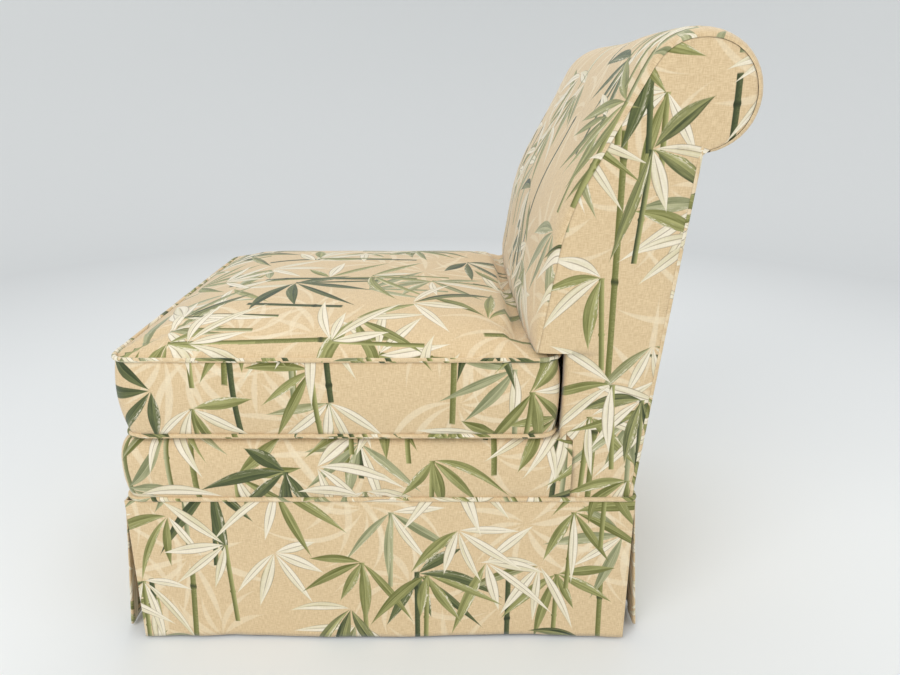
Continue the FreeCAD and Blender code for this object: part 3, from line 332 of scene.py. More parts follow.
# %% The ink recipe
tree, given, end = new_group(
    "leaf_ink",
    [*colours("Under"), *numbers(*LEAF_WORDS, "Cream share"),
     *colours("Deep", "Pale", "Cream deep", "Cream pale", "Line")],
    colours("Ink"))
cream = number("LESS_THAN", given["Kind"], given["Cream share"])
deep = blend_colour(cream, given["Deep"], given["Cream deep"])
pale = blend_colour(cream, given["Pale"], given["Cream pale"])
streak_place = add(tree, "ShaderNodeCombineXYZ", (
    times_plus(given["Leaf"], 57.0, times(given["Across"], 2.4)),
    times_plus(given["Leaf"], 29.0, times(given["Along"], 2.2)), 0))
streak = add(tree, "ShaderNodeTexNoise", {"Vector": streak_place.outputs[0], "Scale": 1.0, "Detail": 3.0},
             noise_dimensions="2D").outputs["Fac"]
speck_place = vector("MULTIPLY", streak_place.outputs[0], (2.9, 7.3, 1.0))
speck = add(tree, "ShaderNodeTexNoise", {"Vector": speck_place, "Scale": 1.0, "Detail": 3.0},
            noise_dimensions="2D").outputs["Fac"]
half_tone = between(given["Across"], -0.12, 0.12, 0.0, 0.34)
tone = plus(times_plus(given["Leaf"], 0.40, half_tone),
            times_plus(streak, 1.1, times_plus(cream, 0.42, -0.52)), clamp=True)
body_ink = blend_colour(tone, deep, pale)
edge = number("ABSOLUTE", given["Across"])
dry = times(between(times_plus(streak, 0.5, times(speck, 0.5)), 0.50, 0.56),
            between(given["Across"], 0.2, 0.8, 0.0, 0.85))
dried = blend_colour(times(dry, between(given["Leaf"], 0.35, 0.7)), body_ink, given["Cream pale"])
rib = times(between(edge, 0.02, 0.12, 0.6, 0.0), between(given["Along"], 0.55, 0.95, 1.0, 0.0))
ribbed = blend_colour(rib, dried, blend_colour(cream, given["Pale"], given["Line"]))
rim = times(between(edge, 0.74, 0.96), times_plus(cream, 0.45, 0.30))
outlined = blend_colour(rim, ribbed, blend_colour(cream, given["Deep"], given["Line"]))
stem_ink = blend_colour(between(given["Side"], -0.7, 0.9, 0.0, 0.85), given["Deep"], given["Pale"])
stemmed = blend_colour(given["Stem"], given["Under"], stem_ink)
tree.links.new(blend_colour(given["Cover"], stemmed, outlined), end.inputs["Ink"])
LEAF_INK = tree
print("ink recipe:", len(tree.nodes), "nodes")

# %% [markdown]
# ## The print: canes
#
# Short lengths of cane stand between the sprays. Each has rings where it once branched,
# a light side and a dark side.

# %% The cane recipe
tree, given, end = new_group(
    "cane",
    [("Place", "v"), *numbers("Half width", "Ring step", "Present")],
    numbers("Cover", "Side", "Ring"))
square = vector("FLOOR", given["Place"])
chance = add(tree, "ShaderNodeTexWhiteNoise", (square,), noise_dimensions="3D")
mix = add(tree, "ShaderNodeSeparateXYZ", (chance.outputs["Color"],))
inside = add(tree, "ShaderNodeSeparateXYZ", (vector("FRACTION", given["Place"]),))
tilted = times(minus(mix.outputs[1], 0.5),
               minus(inside.outputs[1], 0.5))
aside = minus(inside.outputs[0],
              times_plus(mix.outputs[0], 0.5, times_plus(tilted, 0.3, 0.25)))
up = number("ABSOLUTE", minus(inside.outputs[1], 0.5))
reach = times_plus(mix.outputs[2], 0.28, 0.2)
ring_place = number("PINGPONG", plus(inside.outputs[1], mix.outputs[2]), given["Ring step"])
ring = between(ring_place, 0.0, 0.016, 1.0, 0.0)
half = times(given["Half width"], times_plus(ring, 0.22, 1.0))
over = times(minus(half, number("ABSOLUTE", aside)), 160, clamp=True)
ends = times(minus(reach, up), 160, clamp=True)
shown = number("LESS_THAN", chance.outputs["Value"], given["Present"])
cover = times(times(over, ends), shown)
for word, value in (("Cover", cover), ("Side", divided(aside, half)), ("Ring", ring)):
    tree.links.new(value, end.inputs[word])
CANE = tree
print("cane recipe:", len(tree.nodes), "nodes")

# %% [markdown]
# ## The whole cloth
#
# The printer's screens are laid one over another: sweeping pale strokes on the tan ground,
# then canes, then sprays in olive, cream, dark green and sage. Under them all is the linen,
# whose uneven threads show as fine darker and lighter lines and can be felt in the bump.

# %% Mix the inks
STROKE = dye(238, 222, 190)
CREAM_DEEP, CREAM_PALE = dye(210, 200, 156), dye(241, 231, 208)
OLIVE_DEEP, OLIVE_PALE = dye(106, 108, 54), dye(180, 178, 118)
GREEN_DEEP, GREEN_PALE = dye(60, 70, 42), dye(120, 126, 80)
SAGE_DEEP, SAGE_PALE = dye(126, 130, 92), dye(196, 193, 152)
OUTLINE = dye(112, 84, 54)
# square in metres, turn, shift, leaves, open, half width in metres, droop, share of cream, deep, pale
SCREENS = [
    (0.300, 12, (0.31, 0.77, 1), 10, 5.0, 0.0086, 0.7, 0.30, SAGE_DEEP, SAGE_PALE),
    (0.290, 49, (0.12, 0.43, 2), 9, 4.8, 0.0088, 0.6, 0.60, OLIVE_DEEP, OLIVE_PALE),
    (0.320, 31, (0.58, 0.21, 3), 9, 4.8, 0.0096, 0.8, 0.10, GREEN_DEEP, GREEN_PALE),
    (0.290, 68, (0.83, 0.64, 4), 10, 5.4, 0.0084, 0.6, 0.60, OLIVE_DEEP, SAGE_PALE),
    (0.310, 80, (0.47, 0.09, 5), 10, 5.2, 0.0090, 0.9, 0.25, OLIVE_DEEP, OLIVE_PALE),
    (0.330, 22, (0.05, 0.36, 6), 9, 5.0, 0.0096, 0.7, 0.70, OLIVE_DEEP, OLIVE_PALE),
    (0.290, 57, (0.66, 0.52, 7), 9, 4.6, 0.0088, 0.8, 0.15, OLIVE_DEEP, OLIVE_PALE),
    (0.310, 38, (0.91, 0.17, 8), 10, 5.4, 0.0090, 0.5, 0.90, OLIVE_DEEP, OLIVE_PALE),
    (0.340, 3, (0.23, 0.91, 9), 9, 4.6, 0.0100, 0.8, 0.30, GREEN_DEEP, OLIVE_PALE),
    (0.320, 72, (0.39, 0.58, 10), 9, 5.0, 0.0094, 0.7, 0.75, OLIVE_DEEP, OLIVE_PALE),
]


def at_scale(place, size, turn, shift):
    """The cloth's place counted in squares of one size, turned and shifted."""
    made = add(place.id_data, "ShaderNodeMapping", (place,), vector_type="POINT")
    wide, high = size if isinstance(size, tuple) else (size, size)
    made.inputs["Location"].default_value = shift
    made.inputs["Rotation"].default_value = (0, 0, math.radians(turn))
    made.inputs["Scale"].default_value = (1 / wide, 1 / high, 0)
    return made.outputs[0]


def use(tree, group, values):
    """Puts a recipe into a tree and wires its inputs by name."""
    made = tree.nodes.new("ShaderNodeGroup")
    made.node_tree = group
    for word, value in values.items():
        if isinstance(value, bpy.types.NodeSocket):
            tree.links.new(value, made.inputs[word])
        else:
            made.inputs[word].default_value = value
    return made.outputs


# %% Lay the screens over the linen
tree, given, end = new_group("printed_cloth", [("Place", "v")], [("Colour", "c"), ("Relief", "f")])
place = given["Place"]


def next_screen(wet):
    """Where the next screen lies: a hair aside where wet ink is. It also puts the screens in order,
    and without that Cycles works on all of them at once and runs out of room."""
    aside = add(tree, "ShaderNodeCombineXYZ", (times(wet, 0.0002), 0, 0)).outputs[0]
    return vector("ADD", place, aside)


def cloth_noise(size, shift, detail):
    spot = at_scale(place, size, 0, shift)
    return add(tree, "ShaderNodeTexNoise", {"Vector": spot, "Scale": 1.0, "Detail": detail},
               noise_dimensions="2D").outputs["Fac"]


brush = cloth_noise(0.0026, (0, 0, 0), 2.0)
thread_up = cloth_noise((0.0008, 0.009), (0, 0, 0), 2.0)
thread_over = cloth_noise((0.008, 0.0008), (3.3, 1.7, 0), 2.0)
weave = plus(thread_up, thread_over)
ground = blend_colour(between(weave, 0.7, 1.3), dye(215, 188, 146), dye(225, 201, 161))
colour, wet = ground, brush
for size, turn, shift, amount in ((0.34, 40, (0.2, 0.6, 21), 0.6), (0.30, 75, (0.7, 0.1, 22), 0.5),
                                  (0.38, 8, (0.4, 0.3, 23), 0.6), (0.32, 60, (0.1, 0.8, 24), 0.5)):
    stroke = use(tree, LEAF_SPRAY, {"Place": at_scale(next_screen(wet), size, turn, shift), "Upright": 1.0,
                                    "Leaves": 10.0, "Open": 8.0, "Reach": 0.46, "Width": 0.0058 / size,
                                    "Droop": 0.0, "Swirl": 6.0, "Sharp": size / 0.0018, "Stem width": 0.0})
    wet = times(stroke["Cover"], amount)
    colour = blend_colour(wet, colour, STROKE)
for size, turn, shift, deep, pale in (((0.10, 0.40), 2.0, (0.3, 0.2, 13), OLIVE_DEEP, OLIVE_PALE),
                                      ((0.13, 0.34), -3.0, (0.8, 0.6, 14), GREEN_DEEP, GREEN_PALE)):
    cane = use(tree, CANE, {"Place": at_scale(next_screen(wet), size, turn, shift),
                            "Half width": 0.0042 / size[0], "Ring step": 0.075 / size[1], "Present": 0.3})
    side = between(cane["Side"], -0.8, 0.8, 0.0, 0.8)
    ink = blend_colour(times(side, brush), deep, pale)
    ink = blend_colour(times(cane["Ring"], 0.8), ink, dye(44, 52, 30))
    wet = cane["Cover"]
    colour = blend_colour(wet, colour, ink)
for size, turn, shift, leaves, wide_open, half_width, droop, cream_share, deep, pale in SCREENS:
    spray = use(tree, LEAF_SPRAY, {"Place": at_scale(next_screen(wet), size, turn, shift),
                                   "Upright": math.cos(math.radians(turn)),
                                   "Lean": math.sin(math.radians(turn)),
                                   "Leaves": float(leaves), "Open": wide_open, "Reach": 0.42,
                                   "Width": half_width / size, "Droop": droop, "Swirl": 1.2,
                                   "Sharp": size / 0.0008, "Stem width": 0.0038 / size})
    drawn, wet = {word: spray[word] for word in LEAF_WORDS}, spray["Cover"]
    colour = use(tree, LEAF_INK, {**drawn, "Under": colour, "Cream share": cream_share,
                                  "Deep": deep, "Pale": pale, "Cream deep": CREAM_DEEP,
                                  "Cream pale": CREAM_PALE, "Line": OUTLINE})["Ink"]
toned = between(weave, 0.6, 1.4, 0.94, 1.05)
tree.links.new(blend_colour(1.0, colour, toned, "MULTIPLY"), end.inputs["Colour"])
tree.links.new(weave, end.inputs["Relief"])
PRINTED_CLOTH = tree
print("cloth recipe:", len(tree.nodes), "nodes and", len(SCREENS), "leaf screens")

# %% [markdown]
# ## Linen as a finish
#
# Linen is matt, with a faint pale bloom where it is seen edge-on; the sheen gives that. The
# bump has the threads and, far wider and lower, the soft unevenness of padding under cloth.

# %% Linen with the print


def printed_linen(name, padding=0.0006, by_print=True):
    """The printed linen, placed by the piece's flat pattern or, on a carried-over part, by its own space."""
    made, tree, shader = new_material(name)
    if by_print:
        place = add(tree, "ShaderNodeUVMap", uv_map="Print").outputs[0]
    else:
        spot = add(tree, "ShaderNodeSeparateXYZ", (add(tree, "ShaderNodeTexCoord").outputs["Object"],))
        place = add(tree, "ShaderNodeCombineXYZ", (spot.outputs[0], spot.outputs[2], 0.0)).outputs[0]
    cloth = use(tree, PRINTED_CLOTH, {"Place": place})
    lumps = add(tree, "ShaderNodeTexNoise", {"Vector": place, "Scale": 17.0, "Detail": 2.0},
                noise_dimensions="2D").outputs["Fac"]
    soft = add(tree, "ShaderNodeBump", {"Height": lumps, "Distance": padding * 6, "Strength": 0.5})
    fine = add(tree, "ShaderNodeBump", {"Height": cloth["Relief"], "Distance": 0.00035, "Strength": 0.6,
                                        "Normal": soft.outputs[0]})
    tree.links.new(cloth["Colour"], shader.inputs["Base Color"])
    tree.links.new(fine.outputs[0], shader.inputs["Normal"])
    shader.inputs["Roughness"].default_value = 0.86
    shader.inputs["Specular IOR Level"].default_value = 0.25
    shader.inputs["Sheen Weight"].default_value = 0.30
    shader.inputs["Sheen Roughness"].default_value = 0.45
    shader.inputs["Sheen Tint"].default_value = (0.86, 0.94, 1.0, 1.0)
    return made


LINEN = printed_linen("printed_linen")
print("linen:", LINEN.name)

# %% [markdown]
# ## Finishes of the frame
#
# The hidden parts are what such a chair is built from: hardwood rails, jute webbing, burlap,
# foam and felt. Each has a simple recipe with its own grain, weave or pores.

# %% Wood, metal, plastic and plain cloths


def space_at(tree, *scale):
    made = add(tree, "ShaderNodeMapping", (add(tree, "ShaderNodeTexCoord").outputs["Object"],))
    made.inputs["Scale"].default_value = scale
    return made.outputs[0]


def finish(name, deep, pale, strength, roughness, grain, bump=0.0004, metallic=0.0, sheen=0.0):
    """A two-tone finish driven by one texture: noise stretched along the grain."""
    made, tree, shader = new_material(name)
    texture = add(tree, "ShaderNodeTexNoise", {"Vector": space_at(tree, *grain), "Scale": 1.0, "Detail": 5.0,
                                               "Roughness": 0.6}).outputs["Fac"]
    tone = between(texture, 0.3, 0.7)
    tree.links.new(blend_colour(tone, deep, pale), shader.inputs["Base Color"])
    rise = add(tree, "ShaderNodeBump", {"Height": texture, "Distance": bump, "Strength": strength})
    tree.links.new(rise.outputs[0], shader.inputs["Normal"])
    tree.links.new(between(texture, 0.2, 0.8, roughness - 0.08, roughness + 0.08),
                   shader.inputs["Roughness"])
    shader.inputs["Metallic"].default_value = metallic
    shader.inputs["Sheen Weight"].default_value = sheen
    return made


def woven(name, deep, pale, step, bump=0.0005):
    """A plain weave: two sets of ridges that pass over and under each other, with uneven yarn."""
    made, tree, shader = new_material(name)
    spot = add(tree, "ShaderNodeSeparateXYZ", (add(tree, "ShaderNodeTexCoord").outputs["Object"],))
    turn = math.pi / step
    warp = number("SINE", times(spot.outputs[0], turn))
    weft = number("SINE", times(spot.outputs[1], turn))
    over = times(warp, weft)
    yarn = add(tree, "ShaderNodeTexNoise", {"Vector": space_at(tree, 0.4 / step, 0.4 / step, 0.4 / step),
                                            "Scale": 1.0, "Detail": 3.0}).outputs["Fac"]
    level = times_plus(over, 0.35, yarn)
    tree.links.new(blend_colour(between(level, 0.2, 0.85), deep, pale), shader.inputs["Base Color"])
    rise = add(tree, "ShaderNodeBump", {"Height": level, "Distance": bump, "Strength": 0.8})
    tree.links.new(rise.outputs[0], shader.inputs["Normal"])
    shader.inputs["Roughness"].default_value = 0.9
    shader.inputs["Sheen Weight"].default_value = 0.1
    return made


FINISHES = {
    "hardwood_frame": finish("hardwood_frame", dye(176, 134, 88), dye(214, 178, 130), 0.5, 0.62, (90, 5, 90)),
    "leg_wood": finish("leg_wood", dye(58, 34, 20), dye(98, 60, 36), 0.4, 0.42, (110, 110, 7)),
    "glide_nylon": finish("glide_nylon", dye(226, 222, 210), dye(238, 234, 224), 0.2, 0.45, (60, 60, 60)),
    "bolt_steel": finish("bolt_steel", dye(150, 152, 155), dye(190, 192, 195), 0.2, 0.35, (30, 30, 400),
                         metallic=1.0),
    "cambric": woven("cambric", dye(28, 28, 30), dye(52, 52, 54), 0.0011),
    "jute_webbing": woven("jute_webbing", dye(150, 116, 72), dye(206, 174, 122), 0.0019, bump=0.0008),
    "burlap": woven("burlap", dye(160, 128, 82), dye(212, 184, 136), 0.0016, bump=0.0008),
    "foam": finish("foam", dye(226, 212, 168), dye(240, 228, 190), 0.6, 0.9, (700, 700, 700), bump=0.0006),
    "felt_and_fibre": finish("felt_and_fibre", dye(222, 220, 212), dye(243, 241, 235), 0.7, 0.92,
                             (240, 240, 240), bump=0.001, sheen=0.3),
    "deck_cloth": woven("deck_cloth", dye(196, 178, 142), dye(226, 210, 176), 0.0009),
    "fibreboard": finish("fibreboard", dye(150, 118, 82), dye(178, 146, 106), 0.4, 0.85, (300, 300, 300)),
    "card": finish("card", dye(176, 150, 112), dye(196, 170, 130), 0.3, 0.88, (160, 160, 160)),
    "zip_nylon": finish("zip_nylon", dye(196, 170, 122), dye(216, 192, 146), 0.4, 0.5, (500, 60, 500)),
    "zip_metal": finish("zip_metal", dye(150, 128, 84), dye(196, 172, 118), 0.3, 0.32, (260, 260, 260),
                        metallic=1.0),
    "printed_linen": printed_linen("printed_linen_by_space", by_print=False),
}
print("finishes:", len(FINISHES))

# %% Paint the carried-over parts
slot_of = {part["node"]: part["material_slot"] for part in frame["record"]["subparts"]}
for node, thing in frame["nodes"].items():
    thing.data.materials.clear()
    thing.data.materials.append(FINISHES[slot_of[node]])
print("painted", len(slot_of), "carried-over parts")

# %% Paper for the studio
paper, tree, shader = new_material("studio_paper")
shader.inputs["Base Color"].default_value = (0.85, 0.865, 0.86, 1.0)
shader.inputs["Roughness"].default_value = 0.95
for stage in (wall, studio_floor):
    stage.data.materials.append(paper)
print("studio paper on", wall.name, "and", studio_floor.name)

# %% [markdown]
# ## Shared shapes of cloth
#
# Most pieces here are sheets of cloth laid over a form. Each is drawn as rows of points with
# its flat pattern beside it, in metres, so the print keeps its size on every piece. Piping is
# a cord wrapped in the same linen, so it is a tube whose pattern runs along it.

# %% Helpers for lines


def spread(first, last, count):
    return [first + (last - first) * i / (count - 1) for i in range(count)]


def walk(points, step, closed=False):
    """Points at an even step along a line of points."""
    line = [Vector(p) for p in points] + ([Vector(points[0])] if closed else [])
    lengths = [(b - a).length for a, b in zip(line, line[1:])]
    count = max(2, round(sum(lengths) / step))
    out, gone, k = [], 0.0, 0
    for i in range(count if closed else count + 1):
        goal = sum(lengths) * i / count
        while k < len(lengths) - 1 and gone + lengths[k] < goal:
            gone += lengths[k]
            k += 1
        share = 0.0 if lengths[k] == 0 else min(1.0, (goal - gone) / lengths[k])
        out.append(line[k].lerp(line[k + 1], share))
    return out


def wobble(place, scale, seed):
    """Soft chance from -1 to 1 that changes gently from place to place."""
    return noise.noise(Vector(place) * scale + Vector((seed * 7.31, seed * 3.17, seed * 5.9)))


def bounded(value):
    """Keeps a value from 0 to 1."""
    return min(1.0, max(0.0, value))


def corner_arc(x, y, radius, start, step):
    """Points clockwise round a quarter turn, from an angle in degrees."""
    turns = [math.radians(start - a) for a in range(0, 91, step)]
    return [Vector((x + radius * math.cos(a), y + radius * math.sin(a), 0)) for a in turns]


# %% Helpers for cloth
PIPING_SIDES, CLOTH_DEPTH, FRAME_HALF = 12, 0.0012, 0.285
PIPING_LINEN = printed_linen("piping_linen", padding=0.0002)


def dress(piece, body="chair", cloth=LINEN):
    """Puts linen on a piece and says which body it moves with."""
    piece.data.materials.append(cloth)
    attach(piece, body)


def piping(name, points, radius, shift, body="chair"):
    """A cloth-covered cord along a ring of points, with the slight puckers of a bias strip."""
    rows, places, gone = [], [], 0.0
    turns = spread(0, math.tau, PIPING_SIDES + 1)
    for i, spot in enumerate(points + points[:1]):
        ahead, behind = points[(i + 1) % len(points)], points[i - 1]
        forward = (ahead - behind).normalized()
        side = forward.cross(Vector((0, 0, 1))).normalized()
        up = side.cross(forward)
        if i:
            gone += (spot - behind).length
        swell = 1.0 + 0.06 * wobble(spot, 160, 3)
        rows.append([spot + (side * math.cos(a) + up * math.sin(a)) * radius * swell for a in turns[:-1]])
        places.append([(gone + shift[0] + 0.5 * a * radius, shift[1] + a * radius) for a in turns])
    made = grid_mesh(name, rows, places, closed=True)
    dress(made, body, PIPING_LINEN)
    return made


def thicken(piece):
    """Gives a sheet its thickness, so that its cut edges show."""
    solid = piece.modifiers.new("cloth_thickness", "SOLIDIFY")
    solid.thickness = CLOTH_DEPTH
    solid.offset = -1.0
    bpy.context.view_layer.objects.active = piece
    with bpy.context.temp_override(object=piece, active_object=piece, selected_objects=[piece]):
        bpy.ops.object.modifier_apply(modifier=solid.name)


print("helpers ready")

# %% [markdown]
# ## The seat cushion
#
# The cushion is a boxed one: a top panel, a bottom panel and an upright band between them,
# sewn round a foam core with fibre over it. The foam pushes the panels out, the seams hold
# them in, so the top rises to a crown and the band swells a little between the seams.
# Air pressure inside a cloth does the same, so the cover is inflated in a cloth simulation
# whose seams are held. It starts on an even grid, which keeps the print's flat pattern.

# %% Lay out the cushion's cover
CUSHION_HALF, CUSHION_FRONT, CUSHION_BACK, TOP_PROUD, BULGE = 0.2845, -0.3705, 0.2135, 0.0025, 0.0070
CUSHION_CORNER, SEAM_LOW, SEAM_HIGH, CROWN = 0.026, 0.3262, 0.4362, 0.0245
CUSHION_STEP = 0.009


def square_to_panel(u, v):
    """Maps a square's (u, v), from -1 to 1, onto the panel with its rounded corners."""
    half_long = (CUSHION_BACK - CUSHION_FRONT) / 2
    x, y = u * CUSHION_HALF, v * half_long
    over_x = max(0.0, abs(x) - (CUSHION_HALF - CUSHION_CORNER)) / CUSHION_CORNER
    over_y = max(0.0, abs(y) - (half_long - CUSHION_CORNER)) / CUSHION_CORNER
    if over_x > 0 and over_y > 0:
        shrink = max(over_x, over_y) / math.hypot(over_x, over_y)
        x = math.copysign(CUSHION_HALF - CUSHION_CORNER + over_x * shrink * CUSHION_CORNER, x)
        y = math.copysign(half_long - CUSHION_CORNER + over_y * shrink * CUSHION_CORNER, y)
    return x, y + (CUSHION_FRONT + CUSHION_BACK) / 2


def crown_at(u, v):
    return CROWN * (1 - abs(u) ** 10) ** 0.55 * (1 - abs(v) ** 10) ** 0.55


def cushion_cover():
    """A closed cover: top grid, band rows and bottom grid, with the flat place of each corner."""
    wide = round(2 * CUSHION_HALF / CUSHION_STEP)
    long = round((CUSHION_BACK - CUSHION_FRONT) / CUSHION_STEP)
    points, index = [], {}
    for level in ("top", "bottom"):
        for i in range(long + 1):
            for j in range(wide + 1):
                u, v = 2 * j / wide - 1, 2 * i / long - 1
                x, y = square_to_panel(u, v)
                y -= TOP_PROUD * max(0.0, -v) ** 3 * (level == "top")
                sag = 0.002 * (1 - max(abs(u), abs(v)) ** 8)
                z = SEAM_HIGH + crown_at(u, v) if level == "top" else SEAM_LOW - sag
                index[level, i, j] = len(points)
                points.append(Vector((x, y, z)))
    faces, places, kinds = [], [], []
    for level in ("top", "bottom"):
        print_x = 0.37 if level == "top" else 3.1
        for i in range(long):
            for j in range(wide):
                ring = [(i, j), (i, j + 1), (i + 1, j + 1), (i + 1, j)]
                if level == "bottom":
                    ring.reverse()
                face = [index[(level,) + spot] for spot in ring]
                faces.append(face)
                places.append([(points[k].x + print_x, -points[k].y + 1.93) for k in face])
    rim = [(0, j) for j in range(wide)] + [(i, wide) for i in range(long)]
    rim += [(long, j) for j in range(wide, 0, -1)] + [(i, 0) for i in range(long, 0, -1)]
    rows, middle_y = round((SEAM_HIGH - SEAM_LOW) / CUSHION_STEP), (CUSHION_FRONT + CUSHION_BACK) / 2
    levels = [[index[("bottom",) + spot] for spot in rim]]
    for k in range(1, rows):
        level = []
        for spot in rim:
            base = points[index[("bottom",) + spot]].lerp(points[index[("top",) + spot]], k / rows)
            over_x, over_y = base.x / CUSHION_HALF, (base.y - middle_y) / (CUSHION_BACK - middle_y)
            squared = Vector((over_x ** 9, over_y ** 9, 0))
            base = base + squared.normalized() * BULGE * math.sin(math.pi * k / rows)
            level.append(len(points))
            points.append(base)
        levels.append(level)
    levels.append([index[("top",) + spot] for spot in rim])
    gone = [0.0]
    for a, b in zip(levels[-1], levels[-1][1:] + levels[-1][:1]):
        gone.append(gone[-1] + (points[a] - points[b]).length)
    for k in range(rows):
        for m in range(len(rim)):
            n = (m + 1) % len(rim)
            faces.append([levels[k][m], levels[k][n], levels[k + 1][n], levels[k + 1][m]])
            heights = [SEAM_LOW + (SEAM_HIGH - SEAM_LOW) * q / rows for q in (k, k, k + 1, k + 1)]
            places.append([(gone[m + step] + 5.21, high) for step, high in zip((0, 1, 1, 0), heights)])
    made = link_mesh("seat_cushion_cover", points, faces, [spot for ring in places for spot in ring])
    return made, levels[-1], levels[0], set(range(index["bottom", 0, 0], index["bottom", long, wide] + 1))


cushion, top_rim, low_rim, bottom_panel = cushion_cover()
print("cushion cover:", len(cushion.data.vertices), "points")

# %% Inflate it with its seams held
held = cushion.vertex_groups.new(name="held")
held.add(sorted(bottom_panel), 1.0, "REPLACE")
held.add(low_rim + top_rim, 1.0, "REPLACE")


def inflate(piece, pressure, frames, most):
    """Blows a closed cover up for some frames, then keeps no point farther off than most."""
    before = [v.co.copy() for v in piece.data.vertices]
    cloth = piece.modifiers.new("cloth", "CLOTH")
    settings = cloth.settings
    settings.quality = 6
    settings.mass = 0.25
    settings.tension_stiffness = settings.compression_stiffness = 18
    settings.shear_stiffness = 8
    settings.bending_stiffness = 0.6
    settings.air_damping = 3.0
    settings.use_pressure = True
    settings.uniform_pressure_force = pressure
    settings.vertex_group_mass = "held"
    settings.pin_stiffness = 1.0
    settings.effector_weights.gravity = 0.0
    cloth.collision_settings.use_collision = False
    scene = bpy.context.scene
    scene.frame_start, scene.frame_end = 1, frames
    cloth.point_cache.frame_start, cloth.point_cache.frame_end = 1, frames
    for frame_number in range(1, frames + 1):
        scene.frame_set(frame_number)
    blown = piece.evaluated_get(bpy.context.evaluated_depsgraph_get())
    reached = [v.co.copy() for v in blown.data.vertices]
    piece.modifiers.remove(cloth)
    scene.frame_set(1)
    for point, start, goal in zip(piece.data.vertices, before, reached):
        move = goal - start
        point.co = start + (move if move.length <= most else move.normalized() * most)
    return max((a - b).length for a, b in zip(before, reached))


print("farthest swell in millimetres:", round(1000 * inflate(cushion, 4.0, 20, 0.024), 1))

# %% [markdown]
# ## Settle the cushion
#
# Near the piping, cloth is gathered by the stitches and shows small puckers. Under the back
# pad the cushion can't rise, and behind, it lies flat round its zipper.

# %% Puckers, and room for the neighbours
PAD_REACH, PAD_LOW = 0.150, 0.4450
CENTRE_Y, BOXING_MIDDLE = -0.077, 0.381
ZIP_HALF, ZIP_RISE, ZIP_FLAT, BACK_PROUD = 0.272, 0.050, 0.2104, 0.2184
WIDEST, FOREMOST, REARMOST = 0.2925, -0.3845, 0.2186
for point in cushion.data.vertices:
    x, y, z = point.co
    to_seam = min(abs(z - SEAM_HIGH), abs(z - SEAM_LOW)) if abs(z - BOXING_MIDDLE) < 0.054 else 1.0
    edge = min(CUSHION_HALF - abs(x), y - CUSHION_FRONT, CUSHION_BACK - y)
    near = math.exp(-max(0.0, edge) / 0.022) if z > SEAM_HIGH else math.exp(-to_seam / 0.016)
    fold = wobble((x, y, z * 0.3), 42, 1) * 0.9 + wobble((x, y, z * 0.3), 95, 2) * 0.5
    outwards = Vector((x, y - CENTRE_Y, 0)).normalized()
    lift = Vector((0, 0, 1)) if z > SEAM_HIGH else outwards
    if z > SEAM_LOW + 0.003:
        point.co += lift * 0.0016 * near * fold * (1 if edge > 0.003 or z < SEAM_HIGH - 0.004 else 0)
    if z > SEAM_HIGH:
        point.co.z += 0.0012 * wobble((x, y, 0), 9, 5)
    if y > PAD_REACH and z > 0.40:
        ease = min(1.0, (y - PAD_REACH) / 0.02)
        point.co.z = min(point.co.z, PAD_LOW + 0.006 * (1 - ease))
    if y > CUSHION_BACK - 0.006:
        flat = bounded((ZIP_HALF - abs(x)) / 0.012)
        flat *= bounded((ZIP_RISE - abs(point.co.z - BOXING_MIDDLE)) / 0.006)
        point.co.y = min(point.co.y, BACK_PROUD + (ZIP_FLAT - BACK_PROUD) * flat)
for point in cushion.data.vertices:
    point.co.x = max(-WIDEST, min(WIDEST, point.co.x))
    point.co.y = max(FOREMOST, min(REARMOST, point.co.y))
cushion.data.update()
print("cushion top at", round(max(v.co.z for v in cushion.data.vertices), 4))


def rim_line(ring, lift, out):
    """The line a cushion's piping follows: its seam, set a little outwards."""
    line = []
    for k in ring:
        spot = cushion.data.vertices[k].co.copy()
        outwards = Vector([c if abs(c) > 0.2 else 0 for c in (spot.x, spot.y - CENTRE_Y)] + [0])
        spot += outwards.normalized() * out + Vector((0, 0, lift + 0.0005 * wobble(spot, 30, 8)))
        line.append(spot)
    return walk(line, 0.005, closed=True)


WELT_RADIUS, WELT_OUT = 0.0032, 0.0012
top_line, low_line = rim_line(top_rim, 0.0006, WELT_OUT), rim_line(low_rim, 0.0004, WELT_OUT)
top_piping = piping("cushion_top_piping", top_line, WELT_RADIUS, (7.3, 2.2), "seat_cushion")
low_piping = piping("cushion_bottom_piping", low_line, WELT_RADIUS, (9.1, 0.4), "seat_cushion")
dress(cushion, "seat_cushion")
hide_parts("cushion_top_panel", "cushion_bottom_panel", "cushion_boxing", "cushion_zip_boxing",
            "cushion_core", "cushion_wrap")
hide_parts("cushion_top_welt")
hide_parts("cushion_bottom_welt")
print("cushion piping:", len(top_piping.data.vertices), "points in its upper ring")

# %% [markdown]
# ## The line of the back
#
# Seen from the side, the back's front seam rises almost upright from the cushion, bends
# backwards and runs onto the roll, round it and down to a tuck. Everything on the back is
# measured from this one line: the padded front swells ahead of it, the sides hang from it.

# %% Draw the seam line
ROLL_Y, ROLL_Z, ROLL_RADIUS, ROLL_PUFF = 0.357, 0.7585, 0.066, 0.005
SEAM_Y, PAD_BOTTOM, BEND = 0.183, 0.446, 0.300
LOWER_LEAN, UPPER_LEAN, TUCK = math.radians(81), math.radians(62.5), math.radians(-76)
REAR_TOP, REAR_FOOT = (0.3655, 0.698), (0.3225, 0.192)


